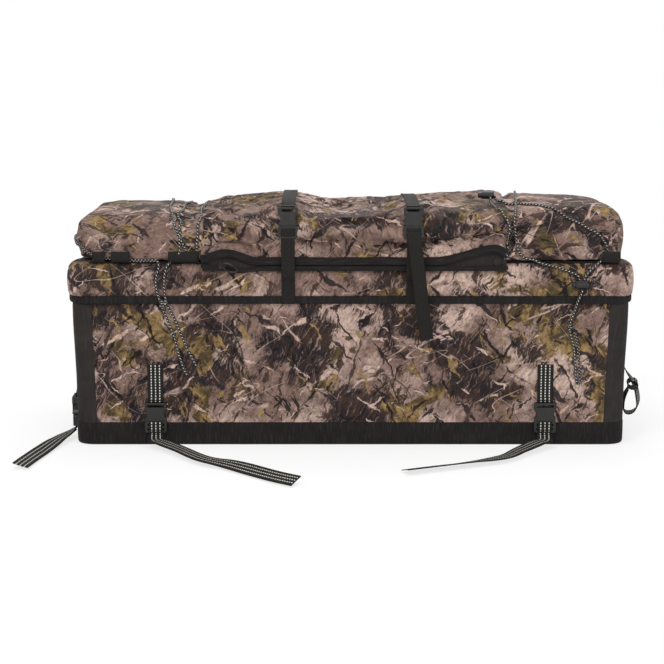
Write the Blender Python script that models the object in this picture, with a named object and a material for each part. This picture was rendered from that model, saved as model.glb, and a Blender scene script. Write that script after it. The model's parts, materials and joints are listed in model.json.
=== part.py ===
"""Soft rack bag: a zipped box body, a padded lid with a bolster roll, straps, buckles and lashing cord.

Metres, +Z up. The origin is on the floor under the middle of the bag, and the front faces -Y.
"""
import math

import bmesh
import bpy
from mathutils import Matrix, Vector

for old in list(bpy.data.objects):
    bpy.data.objects.remove(old, do_unlink=True)

# Clearance between pieces that touch
GAP = 0.0003

# Box body
BODY_WIDTH = 0.905
BODY_DEPTH = 0.300
BODY_HEIGHT = 0.232
WALL = 0.010
CORNER_RADIUS = 0.028
TRIM_REACH = 0.034
BAND_HEIGHT = 0.038
BASE_THICKNESS = 0.010
STIFFENER_THICKNESS = 0.003
STIFFENER_MARGIN = 0.004

# Lid
LID_OVERHANG = 0.0075
LID_WALL = 0.008
LID_BOXING_HEIGHT = 0.045
LID_PANEL = 0.008
LID_EDGE_RADIUS = 0.006
HEM_HEIGHT = 0.012
HEM_THICKNESS = 0.003
HEM_PROUD = 0.001
HEM_RISE = 0.006

# Zip round three sides, and the sewn hinge along the fourth
TAPE = 0.0012
TAPE_LAP = 0.008
ZIP_SLOT = 0.0026
ZIP_LINE_RISE = 0.003
ZIP_END_MARGIN = 0.004
HINGE_TAPE_LAP = 0.030
SLIDER_PLATE = 0.0015
SLIDER_LENGTH = 0.012
SLIDER_TOP_RISE = 0.0060
SLIDER_DROP = 0.0110
SLIDER_PLACE_Y = -0.060
EAR_THICKNESS = 0.0015
PIN_RADIUS = 0.0008
PULL_WIDTH = 0.006
PULL_LENGTH = 0.032
PULL_THICKNESS = 0.0018
PULL_EYE_RADIUS = 0.0024

# Bolster roll and the saddle pouch over it
ROLL_LENGTH = 0.892
ROLL_DEPTH = 0.290
ROLL_HEIGHT = 0.088
ROLL_SQUARENESS = 5.0
ROLL_END_SQUARENESS = 8.0
ROLL_RING_SHARES = (0.997, 0.985, 0.96, 0.92, 0.85, 0.7)
SADDLE_WIDTH = 0.494
SADDLE_CENTRE_X = 0.006
SADDLE_THICKNESS = 0.008
SADDLE_REAR_LIFT = 0.004
BINDING_HEIGHT = 0.013
BINDING_THICKNESS = 0.0025
BINDING_SLOT = 0.0014
MOUTH_BELOW_LID_TOP = 0.001
POUCH_SLIDER_X = -0.207
POUCH_SLIDER_LENGTH = 0.012
POUCH_SLIDER_HEIGHT = 0.010
POUCH_SLIDER_THICKNESS = 0.0025

# Webbing and side-release buckles
WEB = 0.0016
WEB_STEP = 0.012
TIE_WEB_WIDTH = 0.026
TOP_WEB_WIDTH = 0.022
TIE_STRAP_X = 0.320
TIE_STRAP_TOP = 0.136
TIE_BUCKLE_MOUTH = 0.043
TOP_STRAP_X = 0.101
TOP_BUCKLE_RISE = 0.0196
TOP_BUCKLE_TILT_DEG = 10.0
TOP_BUCKLE_STANDOFF = 0.0010
TOP_STRAP_LEAD = 0.026
SIDE_STRAP_Y = -0.098
FRAME_MARGIN = 0.005
FEMALE_LENGTH = 0.030
FEMALE_THICKNESS = 0.010
FEMALE_SIDE = 0.0035
CAVITY_LENGTH = 0.0195
CAVITY_THICKNESS = 0.0056
WINDOW_RADIUS = 0.0105
WINDOW_DEPTH = 0.0040
WINDOW_HEIGHT = 0.0110
SLOT_HEIGHT = 0.0040
BAR = 0.0035
LADDER_LENGTH = 0.020
LADDER_THICKNESS = 0.008
PRONG_LENGTH = 0.0185
PRONG_WIDTH = 0.0055
PRONG_THICKNESS = 0.0050
GUIDE_LENGTH = 0.0150
GUIDE_HALF_WIDTH = 0.0022
PRONG_FREE_GAP = 0.0004
BUCKLE_CORNER = 0.0030

# Lashing cord, its webbing keepers and its locks
CORD_RADIUS = 0.0020
KEEPER_WIDTH = 0.018
KEEPER_THICKNESS = 0.0020
KEEPER_REACH = 0.424
LOCK_RADIUS = 0.0065
LOCK_LENGTH = 0.020
LOCK_BORE_RADIUS = 0.0050
LOCK_BORE_DEPTH = 0.010
BUTTON_CLEARANCE = 0.0004
BUTTON_TRAVEL = 0.0040
BUTTON_PROUD = 0.0060
TOP_LOCK_X = 0.226
TOP_LOCK_Y = -0.085
FRONT_LOCK_X = 0.374
FRONT_LOCK_RISE = 0.0210

# Mesh fineness, the least bend at which a face is split, and how far a cutting shape runs past
FLATNESS = 0.0001
CUT_PAST = 0.002
CORNER_STEPS = 6
ROLL_SECTION_STEPS = 36
CROWDING = 2.5
ROUND_STEPS = 16
SADDLE_STEPS = 22
STRAP_POINTS_PER_SPAN = 3
CORD_POINTS_PER_SPAN = 2

# Levels and planes worked out from the sizes above
WALL_FOOT = BAND_HEIGHT + GAP
HEM_FOOT = BODY_HEIGHT + HEM_RISE
HEM_TOP = HEM_FOOT + HEM_HEIGHT
BOXING_FOOT = HEM_TOP + GAP
BOXING_TOP = BOXING_FOOT + LID_BOXING_HEIGHT
LID_FOOT = BOXING_TOP + GAP
LID_TOP = LID_FOOT + LID_PANEL
LID_WIDTH = BODY_WIDTH + 2 * LID_OVERHANG
LID_DEPTH = BODY_DEPTH + 2 * LID_OVERHANG
LID_RADIUS = CORNER_RADIUS + LID_OVERHANG
BODY_FRONT = -BODY_DEPTH / 2
LID_FRONT = -LID_DEPTH / 2
LID_BACK = LID_DEPTH / 2
HEM_FRONT = LID_FRONT - HEM_PROUD
HEM_BACK = LID_BACK + HEM_PROUD
ZIP_LINE = HEM_FOOT + ZIP_LINE_RISE
TAPE_OUT = GAP + TAPE
HINGE_Y = BODY_DEPTH / 2 + GAP + TAPE / 2
ROLL_FOOT = LID_TOP + GAP
ROLL_MID_Y = LID_FRONT + ROLL_DEPTH / 2
ROLL_MID_Z = ROLL_FOOT + ROLL_HEIGHT / 2
SADDLE_FRONT = LID_FRONT - GAP - SADDLE_THICKNESS
SADDLE_TOP = ROLL_FOOT + ROLL_HEIGHT + GAP + SADDLE_THICKNESS
MOUTH_Z = LID_TOP - MOUTH_BELOW_LID_TOP
POUCH_EDGE = MOUTH_Z - BINDING_SLOT / 2 - BINDING_HEIGHT
BINDING_FRONT = SADDLE_FRONT - GAP - BINDING_THICKNESS


def finish(name, colour, roughness, metallic=0.0):
    """Make one plain Principled material."""
    made = bpy.data.materials.new(name)
    made.use_nodes = True
    shader = made.node_tree.nodes["Principled BSDF"]
    shader.inputs["Base Color"].default_value = (*colour, 1.0)
    shader.inputs["Roughness"].default_value = roughness
    shader.inputs["Metallic"].default_value = metallic
    return made


CAMO_CLOTH = finish("camo_cloth", (0.24, 0.18, 0.14), 0.85)
BLACK_CLOTH = finish("black_cloth", (0.028, 0.025, 0.023), 0.85)
BLACK_WEBBING = finish("black_webbing", (0.022, 0.022, 0.019), 0.75)
BUCKLE_PLASTIC = finish("buckle_plastic", (0.020, 0.021, 0.018), 0.45)
ZIP_METAL = finish("zip_metal", (0.035, 0.033, 0.032), 0.35, 0.8)
BOARD_PLASTIC = finish("board_plastic", (0.045, 0.045, 0.045), 0.60)
ELASTIC_CORD = finish("elastic_cord", (0.050, 0.048, 0.045), 0.80)


def carrier(name, place, parent=None):
    """Make an empty on a joint's axis, for the pieces that move about it."""
    empty = bpy.data.objects.new(name, None)
    bpy.context.scene.collection.objects.link(empty)
    empty.location = place
    if parent:
        empty.parent = parent
        empty.matrix_parent_inverse = Matrix.Translation(parent["place"]).inverted()
    empty["place"] = place
    return empty


def add_piece(name, mesh, material, holder=None, basis=None):
    """Link a mesh as one named sub-part, carried by an empty where it moves."""
    piece = bpy.data.objects.new(name, mesh)
    bpy.context.scene.collection.objects.link(piece)
    mesh.materials.clear()
    mesh.materials.append(material)
    if holder:
        piece.parent = holder
        piece.matrix_parent_inverse = Matrix.Translation(holder["place"]).inverted()
    if basis:
        piece.matrix_basis = basis
    return piece


def loft_mesh(name, rings, closed=False):
    """Skin a row of equal point rings into one closed surface."""
    shape = bmesh.new()
    rows = [[shape.verts.new(point) for point in ring] for ring in rings]
    count = len(rows[0])
    pairs = list(zip(rows, rows[1:]))
    if closed:
        pairs.append((rows[-1], rows[0]))
    for near, far in pairs:
        for index in range(count):
            after = (index + 1) % count
            shape.faces.new((near[index], near[after], far[after], far[index]))
    if not closed:
        shape.faces.new(rows[0])
        shape.faces.new(rows[-1])
    bmesh.ops.recalc_face_normals(shape, faces=shape.faces)
    bmesh.ops.connect_verts_nonplanar(shape, angle_limit=FLATNESS, faces=shape.faces)
    mesh = bpy.data.meshes.new(name)
    shape.to_mesh(mesh)
    shape.free()
    return mesh


def loft(name, rings, material, holder=None, closed=False):
    return add_piece(name, loft_mesh(name, rings, closed), material, holder)


def box_rings(low, high):
    """Give the two end rings of an upright box."""
    return [
        [(low[0], low[1], z), (high[0], low[1], z), (high[0], high[1], z), (low[0], high[1], z)]
        for z in (low[2], high[2])
    ]


def slab(name, low, high, material, holder=None):
    return loft(name, box_rings(low, high), material, holder)


def arc(centre, radius, start_deg, end_deg, steps):
    """Give points on an arc, both ends included."""
    points = []
    for step in range(steps + 1):
        angle = math.radians(start_deg + (end_deg - start_deg) * step / steps)
        points.append((centre[0] + radius * math.cos(angle), centre[1] + radius * math.sin(angle)))
    return points


def rounded_rect(width, depth, radius):
    """Give a rounded rectangle's outline, anticlockwise from the front right corner."""
    x = width / 2 - radius
    y = depth / 2 - radius
    corners = [(x, -y), (x, y), (-x, y), (-x, -y)]
    outline = []
    for turn, centre in enumerate(corners):
        outline += arc(centre, radius, 90 * turn - 90, 90 * turn, CORNER_STEPS)
    return outline


def wall_rings(outer, inner, foot, top):
    """Give the four-point sections of an upright wall that follows a plan outline."""
    return [
        [(*far, foot), (*near, foot), (*near, top), (*far, top)]
        for far, near in zip(outer, inner)
    ]


def ring_wall(name, grow, thickness, foot, top, material, holder=None):
    """Make a wall round all four sides, its outer face `grow` outside the body's."""
    outer = rounded_rect(BODY_WIDTH + 2 * grow, BODY_DEPTH + 2 * grow, CORNER_RADIUS + grow)
    inward = grow - thickness
    inner = rounded_rect(BODY_WIDTH + 2 * inward, BODY_DEPTH + 2 * inward, CORNER_RADIUS + inward)
    return loft(name, wall_rings(outer, inner, foot, top), material, holder, closed=True)


def plate(name, width, depth, radius, foot, top, material, holder=None, edge=0.0):
    """Make a rounded flat plate, with its upper edge rolled over by `edge`."""
    levels = [(0.0, foot), (0.0, top - edge)]
    if edge:
        levels += [(edge * (1 - math.cos(a)), top - edge * (1 - math.sin(a)))
                   for a in (math.radians(30), math.radians(60), math.radians(90))]
    else:
        levels[1] = (0.0, top)
    rings = []
    for inset, z in levels:
        outline = rounded_rect(width - 2 * inset, depth - 2 * inset, radius - inset)
        rings.append([(x, y, z) for x, y in outline])
    return loft(name, rings, material, holder)


def smooth_route(points, per_span):
    """Read points from a smooth curve that passes through every point of a route."""
    route = [Vector(point) for point in points]
    padded = [2 * route[0] - route[1]] + route + [2 * route[-1] - route[-2]]
    read = []
    for index in range(1, len(padded) - 2):
        before, start, end, after = padded[index - 1:index + 3]
        for step in range(per_span):
            t = step / per_span
            read.append(0.5 * (2 * start + (end - before) * t
                               + (2 * before - 5 * start + 4 * end - after) * t ** 2
                               + (3 * start - before - 3 * end + after) * t ** 3))
    read.append(route[-1])
    return read


def ribbon(name, points, across, width, thickness, material, holder=None):
    """Make flat webbing along a route, `across` giving its width direction at each point."""
    rings = []
    last = len(points) - 1
    for index, point in enumerate(points):
        along = (points[min(index + 1, last)] - points[max(index - 1, 0)]).normalized()
        side = across[index]
        side = (side - along * side.dot(along)).normalized() * (width / 2)
        lift = along.cross(side).normalized() * (thickness / 2)
        rings.append([point - side - lift, point + side - lift, point + side + lift, point - side + lift])
    return loft(name, rings, material, holder)


def free_webbing(name, start, base, route, across, width, holder=None):
    """Make a loose strap from a start point along a smooth route measured from `base`."""
    points = smooth_route([start] + [base + Vector(step) for step in route], STRAP_POINTS_PER_SPAN)
    sides = smooth_route(across, STRAP_POINTS_PER_SPAN)
    return ribbon(name, points, sides, width, WEB, BLACK_WEBBING, holder)


def strap_in_plane(name, x, profile, width, holder=None):
    """Make a strap that runs in the YZ plane at one x, straight across its width."""
    points = [Vector((x, y, z)) for y, z in profile]
    across = [Vector((1, 0, 0))] * len(points)
    return ribbon(name, points, across, width, WEB, BLACK_WEBBING, holder)


def cord(name, route, holder=None):
    """Make a round cord as a bevelled curve along a smooth route."""
    curve = bpy.data.curves.new(name, "CURVE")
    curve.dimensions = "3D"
    curve.bevel_depth = CORD_RADIUS
    curve.bevel_resolution = 2
    curve.use_fill_caps = True
    read = smooth_route(route, CORD_POINTS_PER_SPAN)
    spline = curve.splines.new("POLY")
    spline.points.add(len(read) - 1)
    for spot, point in zip(spline.points, read):
        spot.co = (*point, 1.0)
    return add_piece(name, curve, ELASTIC_CORD, holder)


def prism_mesh(name, outline, near, far):
    """Extrude an outline in the XZ plane from y = near to y = far."""
    return loft_mesh(name, [[(x, y, z) for x, z in outline] for y in (near, far)])


def rect(low_x, low_z, high_x, high_z):
    return [(low_x, low_z), (high_x, low_z), (high_x, high_z), (low_x, high_z)]


def carve(mesh, additions=(), cuts=()):
    """Join and cut a mesh by others, and give the finished mesh."""
    steps = [(tool, "UNION") for tool in additions] + [(tool, "DIFFERENCE") for tool in cuts]
    scene = bpy.context.scene.collection.objects
    body = bpy.data.objects.new(mesh.name, mesh)
    scene.link(body)
    helpers = []
    for tool, operation in steps:
        helper = bpy.data.objects.new("helper", tool)
        scene.link(helper)
        helpers.append(helper)
        change = body.modifiers.new(operation, "BOOLEAN")
        change.operation = operation
        change.object = helper
    view = bpy.context.evaluated_depsgraph_get()
    carved = bpy.data.meshes.new_from_object(body.evaluated_get(view))
    for spent in [body] + helpers:
        bpy.data.objects.remove(spent, do_unlink=True)
    return carved


def rounded_rect_at(low_x, low_z, high_x, high_z, radius, steps=3):
    """Give a rounded outline between two corners in the XZ plane."""
    corners = [(high_x - radius, low_z + radius), (high_x - radius, high_z - radius),
               (low_x + radius, high_z - radius), (low_x + radius, low_z + radius)]
    outline = []
    for turn, centre in enumerate(corners):
        outline += arc(centre, radius, 90 * turn - 90, 90 * turn, steps)
    return outline


# Each buckle half is made with its mouth at z = 0, its strap along Z and its face towards -Y
def female_half_mesh(web_width):
    """Make the socket half: a flat sleeve with two arched side windows and a strap bar."""
    half = web_width / 2 + FRAME_MARGIN
    deep = FEMALE_THICKNESS / 2
    body = prism_mesh("female", rounded_rect_at(-half, 0, half, FEMALE_LENGTH, BUCKLE_CORNER), -deep, deep)
    inner = half - FEMALE_SIDE
    cavity = prism_mesh("cavity", rect(-inner, -CUT_PAST, inner, CAVITY_LENGTH),
                        -CAVITY_THICKNESS / 2, CAVITY_THICKNESS / 2)
    slot_foot = FEMALE_LENGTH - BAR - SLOT_HEIGHT
    web_half = web_width / 2 + 2 * GAP
    slot = prism_mesh("slot", rect(-web_half, slot_foot, web_half, slot_foot + SLOT_HEIGHT),
                      -deep - CUT_PAST, deep + CUT_PAST)
    cuts = [cavity, slot]
    for side in (-1, 1):
        centre = (side * (half + WINDOW_RADIUS - WINDOW_DEPTH), WINDOW_HEIGHT)
        ring = arc(centre, WINDOW_RADIUS, 0, 360, 2 * ROUND_STEPS)[:-1]
        cuts.append(prism_mesh("window", ring, -deep - CUT_PAST, deep + CUT_PAST))
    return carve(body, cuts=cuts)


def male_half_mesh(web_width):
    """Make the plug half: a ladder lock with two prongs and a middle guide."""
    half = web_width / 2 + FRAME_MARGIN
    deep = LADDER_THICKNESS / 2
    thin = PRONG_THICKNESS / 2
    root = -GAP - BAR / 2
    frame = rounded_rect_at(-half, -LADDER_LENGTH, half, -GAP, BUCKLE_CORNER)
    ladder = prism_mesh("male", frame, -deep, deep)
    reach = half - FEMALE_SIDE - PRONG_FREE_GAP
    guide = rect(-GUIDE_HALF_WIDTH, root, GUIDE_HALF_WIDTH, GUIDE_LENGTH)
    additions = [prism_mesh("guide", guide, -thin, thin)]
    for side in (-1, 1):
        inner = side * (reach - PRONG_WIDTH)
        outer = side * reach
        prong = [(inner, root), (outer, root), (outer, PRONG_LENGTH - PRONG_WIDTH / 2),
                 (outer - side * PRONG_WIDTH / 2, PRONG_LENGTH), (inner, PRONG_LENGTH)]
        additions.append(prism_mesh("prong", prong, -thin, thin))
    web_half = web_width / 2 + 2 * GAP
    cuts = []
    for step in (1, 2):
        foot = -LADDER_LENGTH + BAR + (step - 1) * (SLOT_HEIGHT + BAR)
        cuts.append(prism_mesh("slot", rect(-web_half, foot, web_half, foot + SLOT_HEIGHT),
                               -deep - CUT_PAST, deep + CUT_PAST))
    return carve(ladder, additions, cuts)


def add_buckle(stem, side, web_width, basis, holder):
    """Place both halves of one buckle, the plug on a carrier of its own."""
    add_piece(f"{stem}_buckle_female_{side}", female_half_mesh(web_width), BUCKLE_PLASTIC, holder, basis)
    slide = carrier(f"{stem}_slide_{side}", basis.translation.copy(), holder)
    add_piece(f"{stem}_buckle_male_{side}", male_half_mesh(web_width), BUCKLE_PLASTIC, slide, basis)
    return slide


def add_body():
    """Make the box: base, band, four panels and four corner trims."""
    inner_w = BODY_WIDTH - 2 * (WALL + GAP)
    inner_d = BODY_DEPTH - 2 * (WALL + GAP)
    inner_r = CORNER_RADIUS - WALL - GAP
    plate("base_panel", inner_w, inner_d, inner_r, 0.0, BASE_THICKNESS, BLACK_CLOTH)
    board_foot = BASE_THICKNESS + GAP
    plate("base_stiffener", inner_w - 2 * STIFFENER_MARGIN, inner_d - 2 * STIFFENER_MARGIN,
          inner_r - STIFFENER_MARGIN, board_foot, board_foot + STIFFENER_THICKNESS, BOARD_PLASTIC)
    ring_wall("base_band", 0.0, WALL, 0.0, BAND_HEIGHT, BLACK_CLOTH)
    long_half = BODY_WIDTH / 2 - TRIM_REACH - GAP
    short_half = BODY_DEPTH / 2 - TRIM_REACH - GAP
    for side, name in ((-1, "front_panel"), (1, "back_panel")):
        faces = sorted((side * BODY_DEPTH / 2, side * (BODY_DEPTH / 2 - WALL)))
        slab(name, (-long_half, faces[0], WALL_FOOT), (long_half, faces[1], BODY_HEIGHT), CAMO_CLOTH)
    for side, name in ((-1, "left_end_panel"), (1, "right_end_panel")):
        faces = sorted((side * BODY_WIDTH / 2, side * (BODY_WIDTH / 2 - WALL)))
        slab(name, (faces[0], -short_half, WALL_FOOT), (faces[1], short_half, BODY_HEIGHT), CAMO_CLOTH)
    for sx, across in ((-1, "left"), (1, "right")):
        for sy, along in ((-1, "front"), (1, "back")):
            add_corner_trim(f"corner_trim_{along}_{across}", sx, sy)


def add_corner_trim(name, sx, sy):
    """Make one upright black corner, rounded in plan."""
    centre = (BODY_WIDTH / 2 - CORNER_RADIUS, BODY_DEPTH / 2 - CORNER_RADIUS)
    outlines = []
    for inset in (0.0, WALL):
        outline = [(BODY_WIDTH / 2 - inset, BODY_DEPTH / 2 - TRIM_REACH)]
        outline += arc(centre, CORNER_RADIUS - inset, 0, 90, CORNER_STEPS)
        outline.append((BODY_WIDTH / 2 - TRIM_REACH, BODY_DEPTH / 2 - inset))
        outlines.append([(sx * x, sy * y) for x, y in outline])
    loft(name, wall_rings(*outlines, WALL_FOOT, BODY_HEIGHT), BLACK_CLOTH)


def zip_path(grow):
    """Give the plan line of the zip, from the back left round the front to the back right."""
    outline = rounded_rect(BODY_WIDTH + 2 * grow, BODY_DEPTH + 2 * grow, CORNER_RADIUS + grow)
    back = BODY_DEPTH / 2 - CORNER_RADIUS - ZIP_END_MARGIN
    x = BODY_WIDTH / 2 + grow
    arc_points = CORNER_STEPS + 1
    front_right = outline[:arc_points]
    front_left = outline[-arc_points:]
    return [(-x, back)] + front_left + front_right + [(x, back)]


def add_zip_tape(name, foot, top, holder=None):
    loft(name, wall_rings(zip_path(TAPE_OUT), zip_path(GAP), foot, top), BLACK_WEBBING, holder)


def add_lid(lid):
    """Make the lid's wall, top, hem and half of the zip."""
    ring_wall("lid_boxing", LID_OVERHANG, LID_WALL, BOXING_FOOT, BOXING_TOP, CAMO_CLOTH, lid)
    plate("lid_top_panel", LID_WIDTH, LID_DEPTH, LID_RADIUS, LID_FOOT, LID_TOP, CAMO_CLOTH, lid,
          edge=LID_EDGE_RADIUS)
    ring_wall("lid_hem_band", LID_OVERHANG + HEM_PROUD, HEM_THICKNESS, HEM_FOOT, HEM_TOP, BLACK_CLOTH, lid)
    add_zip_tape("zip_tape_upper", ZIP_LINE + ZIP_SLOT / 2, HEM_TOP, lid)


def add_lid_hinge():
    """Make the sewn strip that the lid turns on, along the back."""
    half = BODY_WIDTH / 2 - CORNER_RADIUS
    near = BODY_DEPTH / 2 + GAP
    foot = BODY_HEIGHT - HINGE_TAPE_LAP
    slab("lid_hinge_tape", (-half, near, foot), (half, near + TAPE, HEM_TOP), BLACK_CLOTH)


def add_zip_slider(side, sx, lid):
    """Make a zip slider on an end face of the lid, and the pull that swings from it."""
    face = BODY_WIDTH / 2
    outer_low = face + TAPE_OUT + GAP
    outer_high = outer_low + SLIDER_PLATE
    inner_high = face
    inner_low = inner_high - SLIDER_PLATE
    near = SLIDER_PLACE_Y - SLIDER_LENGTH / 2
    far = SLIDER_PLACE_Y + SLIDER_LENGTH / 2
    top = ZIP_LINE + SLIDER_TOP_RISE
    pin_z = ZIP_LINE - SLIDER_DROP + PULL_EYE_RADIUS
    pin_x = outer_high + GAP + PULL_EYE_RADIUS
    neck_half = ZIP_SLOT / 2 - GAP
    ear_near = PULL_WIDTH / 2 + GAP

    def span(x_low, x_high, z_low, z_high):
        return rect(sx * x_low, z_low, sx * x_high, z_high)

    body = prism_mesh("slider", span(outer_low, outer_high, ZIP_LINE - SLIDER_DROP, top), near, far)
    inner = prism_mesh("inner", span(inner_low, inner_high, BODY_HEIGHT + GAP, top), near, far)
    neck = prism_mesh("neck", span(inner_high - SLIDER_PLATE / 2, outer_low + SLIDER_PLATE / 2,
                                   ZIP_LINE - neck_half, ZIP_LINE + neck_half), near, far)
    additions = [inner, neck]
    for y in (-1, 1):
        ends = sorted((SLIDER_PLACE_Y + y * ear_near, SLIDER_PLACE_Y + y * (ear_near + EAR_THICKNESS)))
        ear = span(outer_high - SLIDER_PLATE / 2, pin_x + 2 * PIN_RADIUS, pin_z - 2 * PIN_RADIUS,
                   pin_z + 2 * PIN_RADIUS)
        additions.append(prism_mesh("ear", ear, *ends))
    pin = arc((sx * pin_x, pin_z), PIN_RADIUS, 0, 360, ROUND_STEPS)[:-1]
    reach = ear_near + EAR_THICKNESS / 2
    additions.append(prism_mesh("pin", pin, SLIDER_PLACE_Y - reach, SLIDER_PLACE_Y + reach))
    slide = carrier(f"zip_slide_{side}", Vector((sx * outer_low, SLIDER_PLACE_Y, ZIP_LINE)), lid)
    add_piece(f"zip_slider_{side}", carve(body, additions), ZIP_METAL, slide)

    swing = carrier(f"zip_swing_{side}", Vector((sx * pin_x, SLIDER_PLACE_Y, pin_z)), slide)
    near = SLIDER_PLACE_Y - PULL_WIDTH / 2
    far = SLIDER_PLACE_Y + PULL_WIDTH / 2
    eye = arc((sx * pin_x, pin_z), PULL_EYE_RADIUS, 0, 360, ROUND_STEPS)[:-1]
    tab = span(pin_x - PULL_THICKNESS / 2, pin_x + PULL_THICKNESS / 2, pin_z - PULL_LENGTH,
               pin_z - (PULL_EYE_RADIUS + PIN_RADIUS + GAP) / 2)
    bore = arc((sx * pin_x, pin_z), PIN_RADIUS + GAP, 0, 360, ROUND_STEPS)[:-1]
    pull = carve(prism_mesh("pull", eye, near, far), [prism_mesh("tab", tab, near, far)],
                 [prism_mesh("bore", bore, near - CUT_PAST, far + CUT_PAST)])
    add_piece(f"zip_pull_{side}", pull, ZIP_METAL, swing)


def roll_outline(half_depth, half_height, mid_y, mid_z, angles):
    """Give points of the roll's squared-off oval section, 0 at the front and 90 on top."""
    power = 2 / ROLL_SQUARENESS
    points = []
    for angle in angles:
        c = math.cos(math.radians(angle))
        s = math.sin(math.radians(angle))
        points.append((mid_y - math.copysign(abs(c) ** power, c) * half_depth,
                       mid_z + math.copysign(abs(s) ** power, s) * half_height))
    return points


def section_angles(start, end, steps):
    """Give angles that crowd towards the flat sides, so that the squared corners come out round."""
    angles = []
    for step in range(steps + 1):
        angle = start + (end - start) * step / steps
        quarter = math.floor(angle / 90) * 90
        share = (angle - quarter) / 90
        near = share ** CROWDING
        far = (1 - share) ** CROWDING
        eased = near / (near + far)
        angles.append(quarter + 90 * eased)
    return angles


def add_roll(lid):
    """Make the bolster roll, squared at its ends."""
    half = ROLL_LENGTH / 2
    angles = section_angles(0, 360, ROLL_SECTION_STEPS)[:-1]
    rings = []
    for share in [-s for s in ROLL_RING_SHARES] + list(ROLL_RING_SHARES[::-1]):
        size = (1 - abs(share) ** ROLL_END_SQUARENESS) ** (1 / ROLL_END_SQUARENESS)
        height = ROLL_HEIGHT / 2 * size
        section = roll_outline(ROLL_DEPTH / 2 * size, height, ROLL_MID_Y, ROLL_FOOT + height, angles)
        rings.append([(half * share, y, z) for y, z in section])
    loft("top_roll", rings, CAMO_CLOTH, lid)


def over_roll(out, front_foot, rear_foot):
    """Give the YZ line of a sheet laid over the roll, `out` from it, from front foot to rear foot."""
    angles = section_angles(0, 180, SADDLE_STEPS)
    line = roll_outline(ROLL_DEPTH / 2 + out, ROLL_HEIGHT / 2 + out, ROLL_MID_Y, ROLL_MID_Z, angles)
    return [(line[0][0], front_foot)] + line + [(line[-1][0], rear_foot)]


def add_saddle(lid):
    """Make the saddle pouch over the roll, with its bound mouth and zip."""
    rear_foot = LID_TOP + SADDLE_REAR_LIFT
    out = GAP + SADDLE_THICKNESS / 2
    points = [Vector((SADDLE_CENTRE_X, y, z)) for y, z in over_roll(out, POUCH_EDGE, rear_foot)]
    across = [Vector((1, 0, 0))] * len(points)
    ribbon("saddle_pouch", points, across, SADDLE_WIDTH, SADDLE_THICKNESS, CAMO_CLOTH, lid)
    left = SADDLE_CENTRE_X - SADDLE_WIDTH / 2
    right = SADDLE_CENTRE_X + SADDLE_WIDTH / 2
    upper_foot = MOUTH_Z + BINDING_SLOT / 2
    for name, foot in (("upper", upper_foot), ("lower", POUCH_EDGE)):
        slab(f"pouch_binding_{name}", (left, BINDING_FRONT, foot),
             (right, SADDLE_FRONT - GAP, foot + BINDING_HEIGHT), BLACK_CLOTH, lid)
    add_pouch_zip(lid)


def add_pouch_zip(lid):
    """Make the slider that closes the pouch's mouth."""
    back = BINDING_FRONT - GAP
    front = back - POUCH_SLIDER_THICKNESS
    half_l = POUCH_SLIDER_LENGTH / 2
    half_h = POUCH_SLIDER_HEIGHT / 2
    slide = carrier("pouch_slide", Vector((POUCH_SLIDER_X, back, MOUTH_Z)), lid)
    outline = rounded_rect_at(POUCH_SLIDER_X - half_l, MOUTH_Z - half_h, POUCH_SLIDER_X + half_l,
                              MOUTH_Z + half_h, half_h / 2)
    body = prism_mesh("pouch_zip_slider", outline, front, back)
    add_piece("pouch_zip_slider", body, ZIP_METAL, slide)


def add_top_straps(lid):
    """Make the two straps over the roll, each with its buckle on the front."""
    tilt = math.radians(TOP_BUCKLE_TILT_DEG)
    plane = SADDLE_FRONT - TOP_BUCKLE_STANDOFF - FEMALE_THICKNESS / 2
    turn = Matrix.Rotation(-tilt, 4, "X")
    up = Vector((0, math.sin(tilt), math.cos(tilt)))
    for side, sx in (("left", -1), ("right", 1)):
        x = sx * TOP_STRAP_X
        mouth = Vector((x, plane, ROLL_MID_Z + TOP_BUCKLE_RISE))
        slide = add_buckle("top", side, TOP_WEB_WIDTH, Matrix.Translation(mouth) @ turn, lid)
        rear = mouth + up * (FEMALE_LENGTH + 2 * GAP + WEB / 2)
        foot = mouth - up * (LADDER_LENGTH + GAP)
        line = over_roll(2 * GAP + SADDLE_THICKNESS + WEB / 2, ROLL_FOOT, ROLL_MID_Z)
        laid = [spot for spot in line if spot[0] > rear.y + TOP_STRAP_LEAD and spot[1] > ROLL_MID_Z - GAP]
        back = HEM_BACK + GAP + WEB / 2
        ledge = LID_TOP + KEEPER_THICKNESS + 2 * GAP + 2 * WEB
        tail = [(laid[-1][0] + WEB, ledge + 4 * WEB), (LID_BACK - LID_EDGE_RADIUS, ledge),
                (LID_BACK - GAP, LID_TOP + WEB), (back, LID_TOP - LID_EDGE_RADIUS),
                (back, HEM_TOP - HEM_HEIGHT / 2)]
        strap_in_plane(f"top_strap_rear_{side}", x, [(rear.y, rear.z)] + laid + tail, TOP_WEB_WIDTH, lid)
        clear = BINDING_FRONT - POUCH_SLIDER_THICKNESS - 4 * GAP - WEB
        hem = HEM_FRONT - GAP - WEB / 2
        drop = [(foot.y, foot.z), (min(clear, foot.y), MOUTH_Z + 2 * BINDING_HEIGHT),
                (clear, MOUTH_Z + BINDING_HEIGHT), (clear, POUCH_EDGE),
                (hem - 2 * WEB, POUCH_EDGE - BINDING_HEIGHT), (hem, HEM_TOP), (hem, HEM_FOOT)]
        strap_in_plane(f"top_strap_front_{side}", x, drop, TOP_WEB_WIDTH, slide)
        if side == "right":
            out = Vector((0, -math.cos(tilt), math.sin(tilt)))
            rise = LADDER_LENGTH / 2
            start = mouth - up * rise + out * (LADDER_THICKNESS / 2 + GAP + WEB / 2)
            free_webbing("top_tail_right", start, mouth, *TOP_TAIL_RIGHT, TOP_WEB_WIDTH, slide)


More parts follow.
